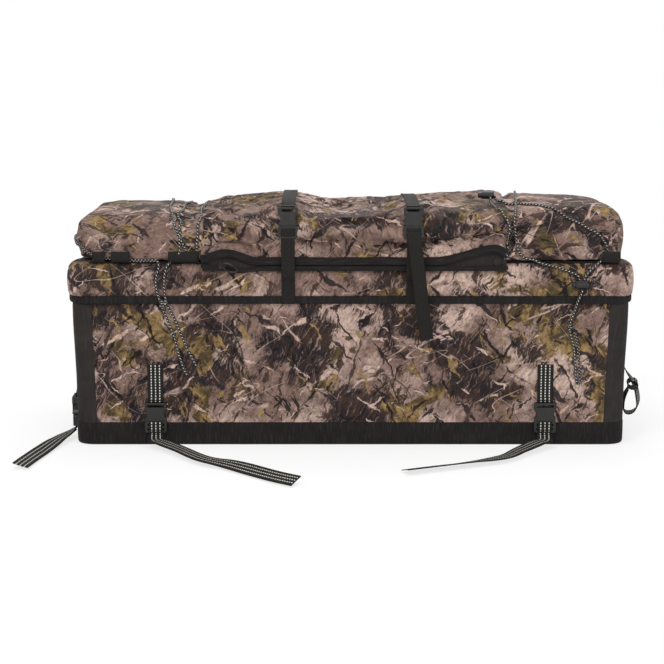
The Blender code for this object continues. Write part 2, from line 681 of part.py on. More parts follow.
def add_tie_straps():
    """Make the front tie-downs: sewn webbing, buckle and a free tail on the floor."""
    sewn = BODY_FRONT - GAP - WEB / 2
    plane = BODY_FRONT - 2 * GAP - FEMALE_THICKNESS / 2
    for side, sx in (("left", -1), ("right", 1)):
        x = sx * TIE_STRAP_X
        mouth = Vector((x, plane, TIE_BUCKLE_MOUTH))
        slide = add_buckle("tie", side, TIE_WEB_WIDTH, Matrix.Translation(mouth), None)
        foot = TIE_BUCKLE_MOUTH + FEMALE_LENGTH + GAP
        profile = [(sewn, TIE_STRAP_TOP), (sewn, foot + WEB_STEP), (plane, foot)]
        strap_in_plane(f"tie_webbing_{side}", x, profile, TIE_WEB_WIDTH)
        start = Vector((x, plane, TIE_BUCKLE_MOUTH - LADDER_LENGTH - GAP))
        below = Vector((x, plane, 0))
        free_webbing(f"tie_tail_{side}", start, below, *TIE_TAILS[side], TIE_WEB_WIDTH, slide)


def add_side_straps():
    """Make the left end's strap and buckle, and the right end's strap tied up in a bow."""
    out = BODY_WIDTH / 2 + GAP + WEB / 2
    plane = BODY_WIDTH / 2 + 2 * GAP + FEMALE_THICKNESS / 2
    turn = Matrix.Rotation(math.radians(-90), 4, "Z")
    mouth = Vector((-plane, SIDE_STRAP_Y, TIE_BUCKLE_MOUTH))
    slide = add_buckle("side", "left", TIE_WEB_WIDTH, Matrix.Translation(mouth) @ turn, None)
    foot = TIE_BUCKLE_MOUTH + FEMALE_LENGTH + GAP
    across = [Vector((0, 1, 0))] * 3
    sewn = [Vector((-out, SIDE_STRAP_Y, TIE_STRAP_TOP)), Vector((-out, SIDE_STRAP_Y, foot + WEB_STEP)),
            Vector((-plane, SIDE_STRAP_Y, foot))]
    ribbon("side_webbing_left", sewn, across, TIE_WEB_WIDTH, WEB, BLACK_WEBBING)
    start = Vector((-plane, SIDE_STRAP_Y, TIE_BUCKLE_MOUTH - LADDER_LENGTH - GAP))
    below = Vector((-plane, SIDE_STRAP_Y, 0))
    free_webbing("side_tail_left", start, below, *SIDE_TAIL_LEFT, TIE_WEB_WIDTH, slide)
    start = Vector((out, SIDE_STRAP_Y, TIE_STRAP_TOP))
    below = Vector((out, SIDE_STRAP_Y, 0))
    free_webbing("side_bow_right", start, below, *SIDE_BOW, TIE_WEB_WIDTH)


def add_lash_keepers(lid):
    """Make the webbing strips along the foot of the roll that the cord is threaded through."""
    foot = LID_TOP + GAP
    top = foot + KEEPER_THICKNESS
    front = LID_FRONT + LID_EDGE_RADIUS
    back = LID_BACK - LID_EDGE_RADIUS
    slab("lash_keeper_front", (-KEEPER_REACH, front, foot), (KEEPER_REACH, front + KEEPER_WIDTH, top),
         BLACK_WEBBING, lid)
    slab("lash_keeper_back", (-KEEPER_REACH, back - KEEPER_WIDTH, foot), (KEEPER_REACH, back, top),
         BLACK_WEBBING, lid)


def cup_rings(base, axis, profile):
    """Turn a profile of (distance, radius) about a line into point rings."""
    axis = Vector(axis)
    side = axis.orthogonal().normalized()
    other = axis.cross(side).normalized()
    rings = []
    for distance, radius in profile:
        rings.append([base + axis * distance + side * (radius * c) + other * (radius * s)
                      for c, s in arc((0, 0), 1.0, 0, 360, ROUND_STEPS)[:-1]])
    return rings


def add_cord_lock(name, centre, direction, lid):
    """Make a spring cord lock lying along X: a barrel with a bore, and its button."""
    axis = Vector((direction, 0, 0))
    base = centre - axis * (LOCK_LENGTH / 2)
    floor = LOCK_LENGTH - LOCK_BORE_DEPTH
    barrel = [(0, LOCK_RADIUS - GAP), (2 * GAP, LOCK_RADIUS), (LOCK_LENGTH - 2 * GAP, LOCK_RADIUS),
              (LOCK_LENGTH, LOCK_RADIUS - GAP), (LOCK_LENGTH, LOCK_BORE_RADIUS), (floor, LOCK_BORE_RADIUS)]
    loft(f"{name}_barrel", cup_rings(base, axis, barrel), BUCKLE_PLASTIC, lid)
    press = carrier(f"{name}_press", base + axis * LOCK_LENGTH, lid)
    radius = LOCK_BORE_RADIUS - BUTTON_CLEARANCE
    top = LOCK_LENGTH + BUTTON_PROUD
    button = [(floor + BUTTON_TRAVEL + GAP, radius), (top - 2 * GAP, radius), (top, radius - 2 * GAP)]
    loft(f"{name}_button", cup_rings(base, axis, button), BUCKLE_PLASTIC, press)


def add_lashing(lid):
    """Make the laced cords with their free ends, and the cord locks."""
    top_lock = Vector((TOP_LOCK_X, TOP_LOCK_Y, SADDLE_TOP + GAP + LOCK_RADIUS))
    front_lock = Vector((FRONT_LOCK_X, LID_FRONT - GAP - LOCK_RADIUS, HEM_TOP + FRONT_LOCK_RISE))
    add_cord_lock("cord_lock_top", top_lock, -1, lid)
    add_cord_lock("cord_lock_front", front_lock, -1, lid)
    for name, route in CORD_ROUTES.items():
        cord(name, route, lid)


# Free strap ends: the route after the buckle, from the floor below it or from the top buckle's mouth,
# and the width direction at each point of it
TIE_TAILS = {
    "left": (
        [(0.0000, -0.0010, 0.0180), (0.0000, -0.0064, 0.0140), (0.0012, -0.0135, 0.0133),
         (0.0050, -0.0205, 0.0129), (0.0140, -0.0284, 0.0125), (0.0440, -0.0594, 0.0095),
         (0.0845, -0.1144, 0.0085), (0.1350, -0.1524, 0.0080), (0.1983, -0.2144, 0.0080),
         (0.2353, -0.2444, 0.0080)],
        [(1, 0, 0), (1, 0, 0), (1, 0.10, 0), (0.94, 0.33, 0.03), (0.78, 0.62, 0.06), (0.75, 0.65, 0.10),
         (0.80, 0.60, 0.30), (0.70, 0.68, 0.40), (0.62, 0.75, 0.40), (0.66, 0.73, 0.40), (0.57, 0.80, 0.40)],
    ),
    "right": (
        [(0.0000, -0.0010, 0.0180), (0.0000, -0.0064, 0.0140), (-0.0012, -0.0140, 0.0133),
         (-0.0055, -0.0215, 0.0129), (-0.0160, -0.0304, 0.0125), (-0.0464, -0.0634, 0.0090),
         (-0.0770, -0.1004, 0.0070), (-0.1415, -0.1324, 0.0060), (-0.1900, -0.1534, 0.0060),
         (-0.2363, -0.1744, 0.0060)],
        [(1, 0, 0), (1, 0, 0), (1, -0.10, 0), (0.94, -0.33, 0.03), (0.77, -0.64, 0.06), (0.75, -0.65, 0.10),
         (0.75, -0.65, 0.20), (0.65, -0.72, 0.25), (0.42, -0.88, 0.25), (0.40, -0.90, 0.25),
         (0.41, -0.88, 0.25)],
    ),
}
SIDE_TAIL_LEFT = (
    [(-0.0007, 0.0000, 0.0175), (-0.0069, -0.0002, 0.0130), (-0.0159, -0.0150, 0.0100),
     (-0.0259, -0.0450, 0.0085), (-0.0344, -0.0800, 0.0075), (-0.0429, -0.1170, 0.0070),
     (-0.0529, -0.1620, 0.0070), (-0.0619, -0.2070, 0.0070)],
    [(0, 1, 0), (0, 1, 0), (-0.15, 0.98, 0), (-0.55, 0.80, 0.10), (-0.85, 0.45, 0.20),
     (-0.93, 0.30, 0.25), (-0.95, 0.22, 0.25), (-0.95, 0.22, 0.25), (-0.95, 0.20, 0.25)],
)
SIDE_BOW = (
    [(0.0004, 0.0000, 0.1270), (0.0064, -0.0010, 0.1150), (0.0154, -0.0030, 0.1020),
     (0.0229, -0.0050, 0.0880), (0.0264, -0.0060, 0.0740), (0.0274, -0.0070, 0.0600),
     (0.0234, -0.0060, 0.0490), (0.0144, -0.0030, 0.0435), (0.0044, 0.0000, 0.0440)],
    [(0, 1, 0), (0, 1, 0), (0.10, 0.99, 0), (0.20, 0.97, 0.10), (0.30, 0.94, 0.15), (0.35, 0.93, 0.10),
     (0.30, 0.95, 0), (0.20, 0.98, 0), (0.10, 0.99, 0), (0, 1, 0)],
)
TOP_TAIL_RIGHT = (
    [(0.0015, -0.0105, -0.0255), (0.0050, -0.0117, -0.0525), (0.0090, -0.0092, -0.0825),
     (0.0130, -0.0042, -0.1175), (0.0175, 0.0008, -0.1525), (0.0230, 0.0058, -0.1875)],
    [(1, 0, 0), (1, 0.03, 0), (1, 0.06, 0), (1, 0.12, 0), (0.95, 0.30, 0), (0.85, 0.50, 0), (0.75, 0.65, 0)],
)

# Lashing cord routes, each from its free end or lock to its last keeper
CORD_ROUTES = {
    "lash_cord_left_outer": [
        (-0.2670, -0.1530, 0.1177), (-0.2737, -0.1530, 0.1310), (-0.2820, -0.1530, 0.1585),
        (-0.2870, -0.1535, 0.1800), (-0.2965, -0.1560, 0.2075), (-0.3050, -0.1605, 0.2300),
        (-0.3110, -0.1618, 0.2480), (-0.3160, -0.1620, 0.2700), (-0.3140, -0.1618, 0.2870),
        (-0.3100, -0.1600, 0.3010), (-0.3180, -0.1530, 0.3092), (-0.3450, -0.1490, 0.3090),
        (-0.3800, -0.1490, 0.3090), (-0.4080, -0.1480, 0.3105), (-0.4330, -0.1360, 0.3230),
        (-0.4455, -0.1120, 0.3310), (-0.4490, -0.0700, 0.3380), (-0.4495, -0.0050, 0.3390),
        (-0.4490, 0.0500, 0.3380), (-0.4455, 0.0870, 0.3310), (-0.4330, 0.1110, 0.3230),
        (-0.4120, 0.1250, 0.3130), (-0.3800, 0.1380, 0.3092), (-0.3400, 0.1390, 0.3100),
        (-0.3180, 0.1372, 0.3220), (-0.3120, 0.1358, 0.3450), (-0.3110, 0.1352, 0.3640),
        (-0.3100, 0.1318, 0.3790), (-0.3090, 0.1160, 0.3900), (-0.3060, 0.0750, 0.3952),
        (-0.3000, -0.0100, 0.3954), (-0.2950, -0.0900, 0.3952), (-0.2910, -0.1400, 0.3902),
        (-0.2880, -0.1566, 0.3795), (-0.2830, -0.1606, 0.3640), (-0.2755, -0.1606, 0.3450),
        (-0.2670, -0.1606, 0.3280), (-0.2600, -0.1575, 0.3160), (-0.2565, -0.1490, 0.3092)],
    "lash_cord_left_inner": [
        (-0.2525, -0.1530, 0.1340), (-0.2670, -0.1530, 0.1634), (-0.2770, -0.1535, 0.1880),
        (-0.2868, -0.1560, 0.2140), (-0.2970, -0.1605, 0.2350), (-0.3015, -0.1614, 0.2530),
        (-0.3025, -0.1614, 0.2750), (-0.3000, -0.1612, 0.2940), (-0.2930, -0.1590, 0.3060),
        (-0.2830, -0.1580, 0.3120), (-0.2765, -0.1605, 0.3210), (-0.2745, -0.1645, 0.3330),
        (-0.2745, -0.1660, 0.3450), (-0.2745, -0.1640, 0.3620), (-0.2745, -0.1575, 0.3800),
        (-0.2745, -0.1400, 0.3902), (-0.2740, -0.0900, 0.3952), (-0.2720, -0.0100, 0.3954),
        (-0.2690, 0.0750, 0.3952), (-0.2670, 0.1160, 0.3900), (-0.2660, 0.1318, 0.3790),
        (-0.2655, 0.1356, 0.3600), (-0.2650, 0.1362, 0.3350), (-0.2620, 0.1390, 0.3150),
        (-0.2555, 0.1420, 0.3100), (-0.2490, 0.1390, 0.3150), (-0.2460, 0.1362, 0.3350),
        (-0.2455, 0.1356, 0.3600), (-0.2455, 0.1318, 0.3790), (-0.2455, 0.1160, 0.3900),
        (-0.2455, 0.0750, 0.3952), (-0.2455, -0.0100, 0.3954), (-0.2455, -0.0900, 0.3952),
        (-0.2455, -0.1400, 0.3902), (-0.2458, -0.1566, 0.3795), (-0.2465, -0.1606, 0.3620),
        (-0.2480, -0.1606, 0.3350), (-0.2490, -0.1575, 0.3160), (-0.2475, -0.1490, 0.3092)],
    "lash_cord_right_inner": [
        (0.3700, -0.1643, 0.2782), (0.3680, -0.1640, 0.2860), (0.3500, -0.1620, 0.2930),
        (0.3360, -0.1618, 0.2985), (0.3130, -0.1610, 0.3040), (0.2930, -0.1595, 0.3090),
        (0.2770, -0.1580, 0.3150), (0.2695, -0.1600, 0.3270), (0.2660, -0.1606, 0.3450),
        (0.2640, -0.1606, 0.3620), (0.2635, -0.1568, 0.3795), (0.2670, -0.1400, 0.3902),
        (0.2730, -0.0900, 0.3952), (0.2800, -0.0100, 0.3954), (0.2860, 0.0750, 0.3952),
        (0.2900, 0.1160, 0.3900), (0.2920, 0.1318, 0.3790), (0.2935, 0.1356, 0.3600),
        (0.2950, 0.1362, 0.3350), (0.3020, 0.1390, 0.3150), (0.3200, 0.1395, 0.3095),
        (0.3600, 0.1390, 0.3092), (0.3950, 0.1370, 0.3092)],
    "lash_cord_right_outer": [
        (0.3780, -0.1643, 0.2782), (0.3800, -0.1640, 0.2860), (0.3900, -0.1618, 0.2960),
        (0.3990, -0.1595, 0.3040), (0.4090, -0.1545, 0.3110), (0.4170, -0.1490, 0.3200),
        (0.4150, -0.1485, 0.3320), (0.4060, -0.1500, 0.3480), (0.3800, -0.1552, 0.3670),
        (0.3550, -0.1512, 0.3820), (0.3310, -0.1390, 0.3905), (0.2960, -0.1200, 0.3960),
        (0.2740, -0.1060, 0.4002), (0.2620, -0.0980, 0.4035), (0.2520, -0.0920, 0.4058),
        (0.2440, -0.0870, 0.4066), (0.2366, -0.0850, 0.4070)],
    "lash_cord_right_over": [
        (0.2300, -0.0922, 0.4066), (0.2310, -0.1100, 0.4044), (0.2350, -0.1330, 0.4005),
        (0.2400, -0.1500, 0.3960), (0.2470, -0.1640, 0.3860), (0.2530, -0.1690, 0.3720),
        (0.2575, -0.1680, 0.3560), (0.2585, -0.1640, 0.3360), (0.2590, -0.1600, 0.3190),
        (0.2600, -0.1500, 0.3094)],
    "lash_tail_right": [
        (0.3750, -0.1643, 0.2641), (0.3748, -0.1643, 0.2590), (0.3685, -0.1625, 0.2420),
        (0.3620, -0.1580, 0.2200), (0.3570, -0.1535, 0.2010), (0.3590, -0.1530, 0.1880),
        (0.3640, -0.1530, 0.1700), (0.3670, -0.1530, 0.1500), (0.3685, -0.1530, 0.1300),
        (0.3700, -0.1530, 0.1120), (0.3745, -0.1530, 0.1030), (0.3800, -0.1530, 0.1060),
        (0.3795, -0.1530, 0.1180), (0.3765, -0.1530, 0.1350), (0.3745, -0.1530, 0.1550),
        (0.3710, -0.1530, 0.1750), (0.3665, -0.1530, 0.1900)],
}


lid_carrier = carrier("lid_turn", Vector((0, HINGE_Y, ZIP_LINE)))
add_body()
add_zip_tape("zip_tape_lower", BODY_HEIGHT - TAPE_LAP, ZIP_LINE - ZIP_SLOT / 2)
add_lid_hinge()
add_lid(lid_carrier)
for zip_side, zip_sign in (("left", -1), ("right", 1)):
    add_zip_slider(zip_side, zip_sign, lid_carrier)
add_roll(lid_carrier)
add_saddle(lid_carrier)
add_top_straps(lid_carrier)
add_tie_straps()
add_side_straps()
add_lash_keepers(lid_carrier)
add_lashing(lid_carrier)
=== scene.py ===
"""Dresses the rack cargo bag: cloth shells, roll, pouch, webbing, buckles and lashing cord."""
import bisect
import json
import math

import bmesh
import bpy
from mathutils import Matrix, Vector, noise
from mathutils.bvhtree import BVHTree


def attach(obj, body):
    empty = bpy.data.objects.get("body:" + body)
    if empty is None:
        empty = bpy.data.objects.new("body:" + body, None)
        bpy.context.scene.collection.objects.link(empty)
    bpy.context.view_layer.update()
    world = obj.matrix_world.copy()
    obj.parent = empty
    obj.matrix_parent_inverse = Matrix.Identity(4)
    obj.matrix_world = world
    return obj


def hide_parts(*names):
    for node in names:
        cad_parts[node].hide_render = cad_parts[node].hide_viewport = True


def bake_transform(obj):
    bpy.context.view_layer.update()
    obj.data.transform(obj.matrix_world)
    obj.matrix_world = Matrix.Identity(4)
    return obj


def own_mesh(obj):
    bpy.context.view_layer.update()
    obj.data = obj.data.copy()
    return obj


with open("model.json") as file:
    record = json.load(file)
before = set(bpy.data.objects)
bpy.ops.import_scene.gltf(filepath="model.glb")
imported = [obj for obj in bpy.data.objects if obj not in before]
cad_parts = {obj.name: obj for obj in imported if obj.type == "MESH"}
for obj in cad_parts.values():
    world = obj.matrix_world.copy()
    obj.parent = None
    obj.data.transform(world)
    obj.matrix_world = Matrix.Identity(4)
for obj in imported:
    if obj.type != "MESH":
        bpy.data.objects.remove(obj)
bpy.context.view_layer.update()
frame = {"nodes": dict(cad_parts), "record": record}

# Body and lid sizes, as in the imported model
BODY_HALF = (0.4525, 0.150)
BODY_CORNER = 0.028
TRIM_EDGE = (0.4185, 0.116)
BAND_TOP = 0.0385
WALL_FOOT = 0.034
PANEL_TOP = 0.2390
END_PANEL_TOP = 0.2318
LID_HALF = (0.460, 0.1575)
LID_CORNER = 0.0250
ROLL_HALF = (0.446, 0.145, 0.044)
ROLL_MID = (0.0, -0.0125, 0.3479)
SADDLE_X = (-0.241, 0.253)
CINCH_X = 0.262
STRAP_X = 0.101
TIE_X = 0.320
WEB = 0.0016
TIE_WIDTH = 0.026
TOP_WIDTH = 0.022
CORD_RADIUS = 0.0020
LID_TOP_INSET = 0.010

# How far the lid's lining hangs below its top, and the highest the corner cloth reaches under the zip sliders
LINING_DEPTH = 0.0098
SLIDER_FOOT = 0.2290

# Steps that the cloth simulation runs
CLOTH_STEPS = 20

# The photograph's frame: pixels across, metres to a pixel at the bag's front, and its middle
PHOTO_PX = 664
METRES_PER_PX = 0.001634
VIEW_ELEVATION = math.radians(11.0)
VIEW_DISTANCE = 3.0
AIM = Vector((-0.0302, -0.150, 0.190))


def srgb(red, green, blue):
    """Turn 0-255 screen values into the linear colour that a shader takes."""
    linear = []
    for value in (red, green, blue):
        share = value / 255
        linear.append(share / 12.92 if share <= 0.04045 else ((share + 0.055) / 1.055) ** 2.4)
    return (*linear, 1.0)


class Tone:
    """One output socket of a material, on which plain arithmetic adds Math nodes."""

    def __init__(self, paint, socket):
        self.paint = paint
        self.socket = socket

    def __add__(self, other):
        return self.paint.maths("ADD", self, other)

    def __sub__(self, other):
        return self.paint.maths("SUBTRACT", self, other)

    def __rsub__(self, other):
        return self.paint.maths("SUBTRACT", other, self)

    def __mul__(self, other):
        return self.paint.maths("MULTIPLY", self, other)

    def __truediv__(self, other):
        return self.paint.maths("DIVIDE", self, other)

    def __abs__(self):
        return self.paint.maths("ABSOLUTE", self)

    __radd__ = __add__
    __rmul__ = __mul__


class Paint:
    """A material being mixed, ending in one Principled shader."""

    def __init__(self, name, **constants):
        self.material = bpy.data.materials.new(name)
        self.material.use_nodes = True
        self.tree = self.material.node_tree
        self.shader = self.tree.nodes["Principled BSDF"]
        for socket, value in constants.items():
            self.shader.inputs[socket.replace("_", " ")].default_value = value

    def node(self, kind, settings=None, out=0, **sockets):
        """Add a node: its settings first, then the values or links of its sockets."""
        made = self.tree.nodes.new(kind)
        for key, value in (settings or {}).items():
            if key == "stops":
                self.set_stops(made.color_ramp, value)
            else:
                setattr(made, key, value)
        for key, value in sockets.items():
            index = int(key[1:]) if key[0] == "i" and key[1:].isdigit() else key.replace("_", " ")
            self.feed(made.inputs[index], value)
        return Tone(self, made.outputs[out])

    def set_stops(self, ramp, stops):
        while len(ramp.elements) < len(stops):
            ramp.elements.new(0.5)
        for element, (place, colour) in zip(ramp.elements, stops):
            element.position = place
            element.color = colour

    def feed(self, socket, value):
        if isinstance(value, Tone):
            self.tree.links.new(value.socket, socket)
        else:
            socket.default_value = value

    def maths(self, operation, *values):
        sockets = {f"i{index}": value for index, value in enumerate(values)}
        return self.node("ShaderNodeMath", {"operation": operation}, **sockets)

    def vector(self, operation, *values):
        sockets = {f"i{index}": value for index, value in enumerate(values)}
        return self.node("ShaderNodeVectorMath", {"operation": operation}, **sockets)

    def uv(self):
        return self.node("ShaderNodeUVMap", {"uv_map": "UVMap"})

    def place(self):
        return self.node("ShaderNodeTexCoord", out=3)

    def parts(self, vector):
        """Give the two UV shares of a vector as numbers."""
        split = self.tree.nodes.new("ShaderNodeSeparateXYZ")
        self.feed(split.inputs[0], vector)
        return Tone(self, split.outputs[0]), Tone(self, split.outputs[1])

    def laid(self, vector, move=(0, 0, 0), turn=0.0, scale=(1, 1, 1)):
        """Move, turn and then stretch a pattern, `scale` giving repeats to a metre."""
        shrunk = tuple(1 / value for value in scale)
        return self.node("ShaderNodeMapping", {"vector_type": "TEXTURE"}, Vector=vector, Location=move,
                         Rotation=(0, 0, math.radians(turn)), Scale=shrunk)

    def cloud(self, vector, scale, detail=2.0, rough=0.5, distortion=0.0, out=0):
        return self.node("ShaderNodeTexNoise", out=out, Vector=vector, Scale=scale, Detail=detail,
                         Roughness=rough, Distortion=distortion)

    def step(self, value, low, high, start=0.0, end=1.0):
        """Ease a number from one level to another between two limits."""
        return self.node("ShaderNodeMapRange", {"interpolation_type": "SMOOTHSTEP"}, Value=value,
                         From_Min=low, From_Max=high, To_Min=start, To_Max=end)

    def blend(self, share, first, second, kind="MIX"):
        return self.node("ShaderNodeMix", {"data_type": "RGBA", "blend_type": kind}, out=2,
                         i0=share, i6=first, i7=second)

    def bump(self, height, strength, distance):
        return self.node("ShaderNodeBump", Height=height, Strength=strength, Distance=distance)

    def end(self, colour, roughness=None, normal=None):
        self.feed(self.shader.inputs["Base Color"], colour)
        if roughness is not None:
            self.feed(self.shader.inputs["Roughness"], roughness)
        if normal is not None:
            self.feed(self.shader.inputs["Normal"], normal)
        return self.material


def weave(paint, at, pitch):
    """Give the height of a plain weave: threads over and under, both ways."""
    across, along = paint.parts(at)
    turn = 2 * math.pi / pitch
    warp = paint.maths("SINE", across * turn)
    weft = paint.maths("SINE", along * turn)
    return warp * weft


def mix_camo_cloth():
    """Mix a brushed woodland-toned print: torn-edged blotches, slanting dabs, fine lines and speckle."""
    paint = Paint("camo_cloth", Sheen_Weight=0.04, Sheen_Roughness=0.5, Specular_IOR_Level=0.18)
    taupe = srgb(138, 112, 102)
    rose = srgb(202, 174, 161)
    charcoal = srgb(40, 34, 37)
    umber = srgb(66, 49, 42)
    olive = srgb(78, 64, 42)
    gold = srgb(150, 122, 80)
    soot = srgb(22, 18, 19)
    at = paint.uv()
    drift = paint.cloud(at, 18.0, 4.0, 0.65, out=1)
    pull = paint.vector("SCALE", paint.vector("SUBTRACT", drift, (0.5, 0.5, 0.5)))
    pull.socket.node.inputs["Scale"].default_value = 0.035
    torn = paint.vector("ADD", at, pull)
    grain = paint.cloud(paint.laid(torn, turn=66, scale=(34, 260, 1)), 1.0, 3.0, 0.65)
    mottle = paint.cloud(torn, 60.0, 5.0, 0.7)

    ground = paint.blend(paint.step(paint.cloud(torn, 8.0, 4.0), 0.44, 0.60), taupe, rose)
    ground = paint.blend(paint.step(mottle, 0.46, 0.66, 0.0, 0.75), ground, umber)
    big = paint.cloud(paint.laid(torn, move=(3.1, 1.7, 0)), 8.5, 5.0, 0.60)
    dark = paint.step(big + (grain - 0.5) * 0.30, 0.485, 0.525)
    depth = paint.blend(paint.step(paint.cloud(at, 26.0, 4.0, 0.65), 0.40, 0.62), charcoal, umber)
    depth = paint.blend(paint.step(grain, 0.56, 0.66, 0.0, 0.8), depth, taupe)
    colour = paint.blend(dark, ground, depth)
    patch = paint.cloud(paint.laid(torn, move=(7.7, 4.2, 0)), 9.5, 5.0, 0.60)
    moss = paint.step(patch + (mottle - 0.5) * 0.20, 0.560, 0.590)
    tint = paint.blend(paint.step(paint.cloud(torn, 38.0, 5.0, 0.65), 0.42, 0.62), olive, gold)
    colour = paint.blend(moss, colour, tint)

    dabs = (
        (28, 2.3, rose, 0.640, 15), (118, 5.1, soot, 0.615, 13), (-40, 8.9, charcoal, 0.620, 11),
        (72, 0.4, umber, 0.610, 14), (-62, 3.7, gold, 0.650, 12), (50, 6.6, soot, 0.630, 17),
        (-24, 1.9, rose, 0.655, 16))
    for turn, shift, tone, level, length in dabs:
        run = paint.cloud(paint.laid(torn, move=(shift, shift, 0), turn=turn, scale=(length, length * 5.5, 1)),
                          1.0, 2.5, 0.55)
        colour = paint.blend(paint.step(run + (mottle - 0.5) * 0.10, level, level + 0.025, 0.0, 0.92), colour, tone)
    lines = ((24, 2.9, rose, 0.006), (112, 5.7, soot, 0.007), (-38, 8.1, rose, 0.005), (70, 0.9, soot, 0.006))
    for turn, shift, tone, width in lines:
        run = paint.cloud(paint.laid(at, move=(shift, shift, 0), turn=turn, scale=(4, 24, 1)), 1.0, 1.0, 0.4)
        line = paint.step(abs(run - 0.5), 0.0, width, 1.0, 0.0)
        where = paint.step(paint.cloud(paint.laid(at, move=(shift, 0, 0)), 11.0, 2.0), 0.50, 0.58)
        colour = paint.blend(line * where * 0.85, colour, tone)

    worn = paint.cloud(at, 210.0, 3.0, 0.7)
    combed = paint.step(grain, 0.30, 0.72)
    shade = 0.56 + combed * 0.46 + (worn - 0.5) * 1.1 + (mottle - 0.5) * 0.7
    value = paint.node("ShaderNodeCombineXYZ", i0=shade, i1=shade, i2=shade)
    colour = paint.blend(1.0, colour, value, "MULTIPLY")
    height = weave(paint, at, 0.0011) + worn * 0.6
    rough = 0.82 + (worn - 0.5) * 0.2
    return paint.end(colour, rough, paint.bump(height, 0.18, 0.0004))


def mix_black_cloth(name, dark, light):
    """Mix a coarse black bag cloth with faint ribs and a dusty bloom."""
    paint = Paint(name, Sheen_Weight=0.03, Sheen_Roughness=0.5, Specular_IOR_Level=0.16)
    at = paint.uv()
    dust = paint.cloud(at, 26.0, 5.0, 0.6)
    fibre = paint.cloud(paint.laid(at, scale=(420, 40, 1)), 1.0, 3.0, 0.6)
    colour = paint.blend(paint.step(dust, 0.35, 0.70), dark, light)
    colour = paint.blend(paint.step(fibre, 0.45, 0.75, 0.0, 0.45), colour, srgb(58, 54, 52))
    height = weave(paint, at, 0.0014) + fibre * 0.8
    return paint.end(colour, 0.80 + dust * 0.12, paint.bump(height, 0.22, 0.0004))


def ribs(paint, across, along):
    """Give the height of flat webbing: slanted ribs that change side along the middle."""
    slant = abs(across) * 0.9 + along
    return paint.maths("SINE", slant * (2 * math.pi / 0.0022))


def mix_webbing(name, dashes):
    """Mix black webbing, with or without three rows of pale reflective dashes."""
    paint = Paint(name, Sheen_Weight=0.02, Sheen_Roughness=0.5, Specular_IOR_Level=0.2)
    at = paint.uv()
    across, along = paint.parts(at)
    height = ribs(paint, across, along)
    fuzz = paint.cloud(at, 240.0, 3.0, 0.6)
    colour = paint.blend(paint.step(fuzz, 0.30, 0.75), srgb(23, 21, 19), srgb(34, 31, 28))
    rough = 0.68 + fuzz * 0.2
    if dashes:
        pitch = paint.maths("FRACT", along / 0.0046)
        on = paint.step(abs(pitch - 0.5), 0.26, 0.31, 1.0, 0.0)
        rows = paint.step(abs(across), 0.0007, 0.0010, 1.0, 0.0)
        side = paint.step(abs(abs(across) - 0.0068), 0.0007, 0.0010, 1.0, 0.0)
        mark = on * paint.maths("MAXIMUM", rows, side)
        colour = paint.blend(mark, colour, srgb(205, 204, 196))
        height = height + mark * 1.5
    return paint.end(colour, rough, paint.bump(height, 0.35, 0.0004))


def mix_elastic_cord():
    """Mix braided elastic cord: black with pale flecks that wind round it."""
    paint = Paint("elastic_cord", Sheen_Weight=0.05, Specular_IOR_Level=0.3)
    around, along = paint.parts(paint.uv())
    left = paint.maths("FRACT", around * 2.0 + along / 0.0056)
    right = paint.maths("FRACT", around * 2.0 - along / 0.0056 + 0.5)
    fleck = paint.step(abs(left - 0.5), 0.10, 0.16, 1.0, 0.0) * paint.step(abs(right - 0.5), 0.24, 0.30, 1.0, 0.0)
    braid = paint.maths("SINE", (around * 4.0 + along / 0.0028) * (2 * math.pi))
    colour = paint.blend(fleck, srgb(34, 33, 32), srgb(206, 203, 196))
    return paint.end(colour, 0.70 + fleck * 0.1, paint.bump(braid + fleck, 0.4, 0.0004))


def mix_moulded(name, dark, light, rough, metallic=0.0):
    """Mix a moulded or cast black finish with a fine skin and rubbed patches."""
    paint = Paint(name, Metallic=metallic)
    at = paint.place()
    skin = paint.cloud(at, 900.0, 3.0, 0.6)
    rub = paint.cloud(at, 120.0, 4.0, 0.6)
    colour = paint.blend(paint.step(rub, 0.35, 0.75), dark, light)
    return paint.end(colour, rough + (rub - 0.5) * 0.25, paint.bump(skin, 0.12, 0.0003))


def mix_thread():
    """Mix sewing thread, twisted along its length."""
    paint = Paint("seam_thread", Specular_IOR_Level=0.2)
    twist = paint.cloud(paint.place(), 700.0, 2.0)
    return paint.end(paint.blend(twist, srgb(52, 45, 42), srgb(104, 92, 84)), 0.7 + twist * 0.15)


CAMO = mix_camo_cloth()
BLACK = mix_black_cloth("black_cloth", srgb(38, 35, 34), srgb(46, 43, 41))
BAND_BLACK = mix_black_cloth("band_cloth", srgb(24, 21, 21), srgb(30, 27, 27))
PLAIN_WEB = mix_webbing("black_webbing", False)
DASHED_WEB = mix_webbing("reflective_webbing", True)
ELASTIC = mix_elastic_cord()
PLASTIC = mix_moulded("buckle_plastic", srgb(15, 16, 14), srgb(23, 24, 21), 0.42)
CAST = mix_moulded("zip_metal", srgb(40, 38, 37), srgb(62, 59, 56), 0.36, 0.7)
BOARD = mix_moulded("board_plastic", srgb(54, 54, 54), srgb(66, 66, 66), 0.6)
THREAD = mix_thread()


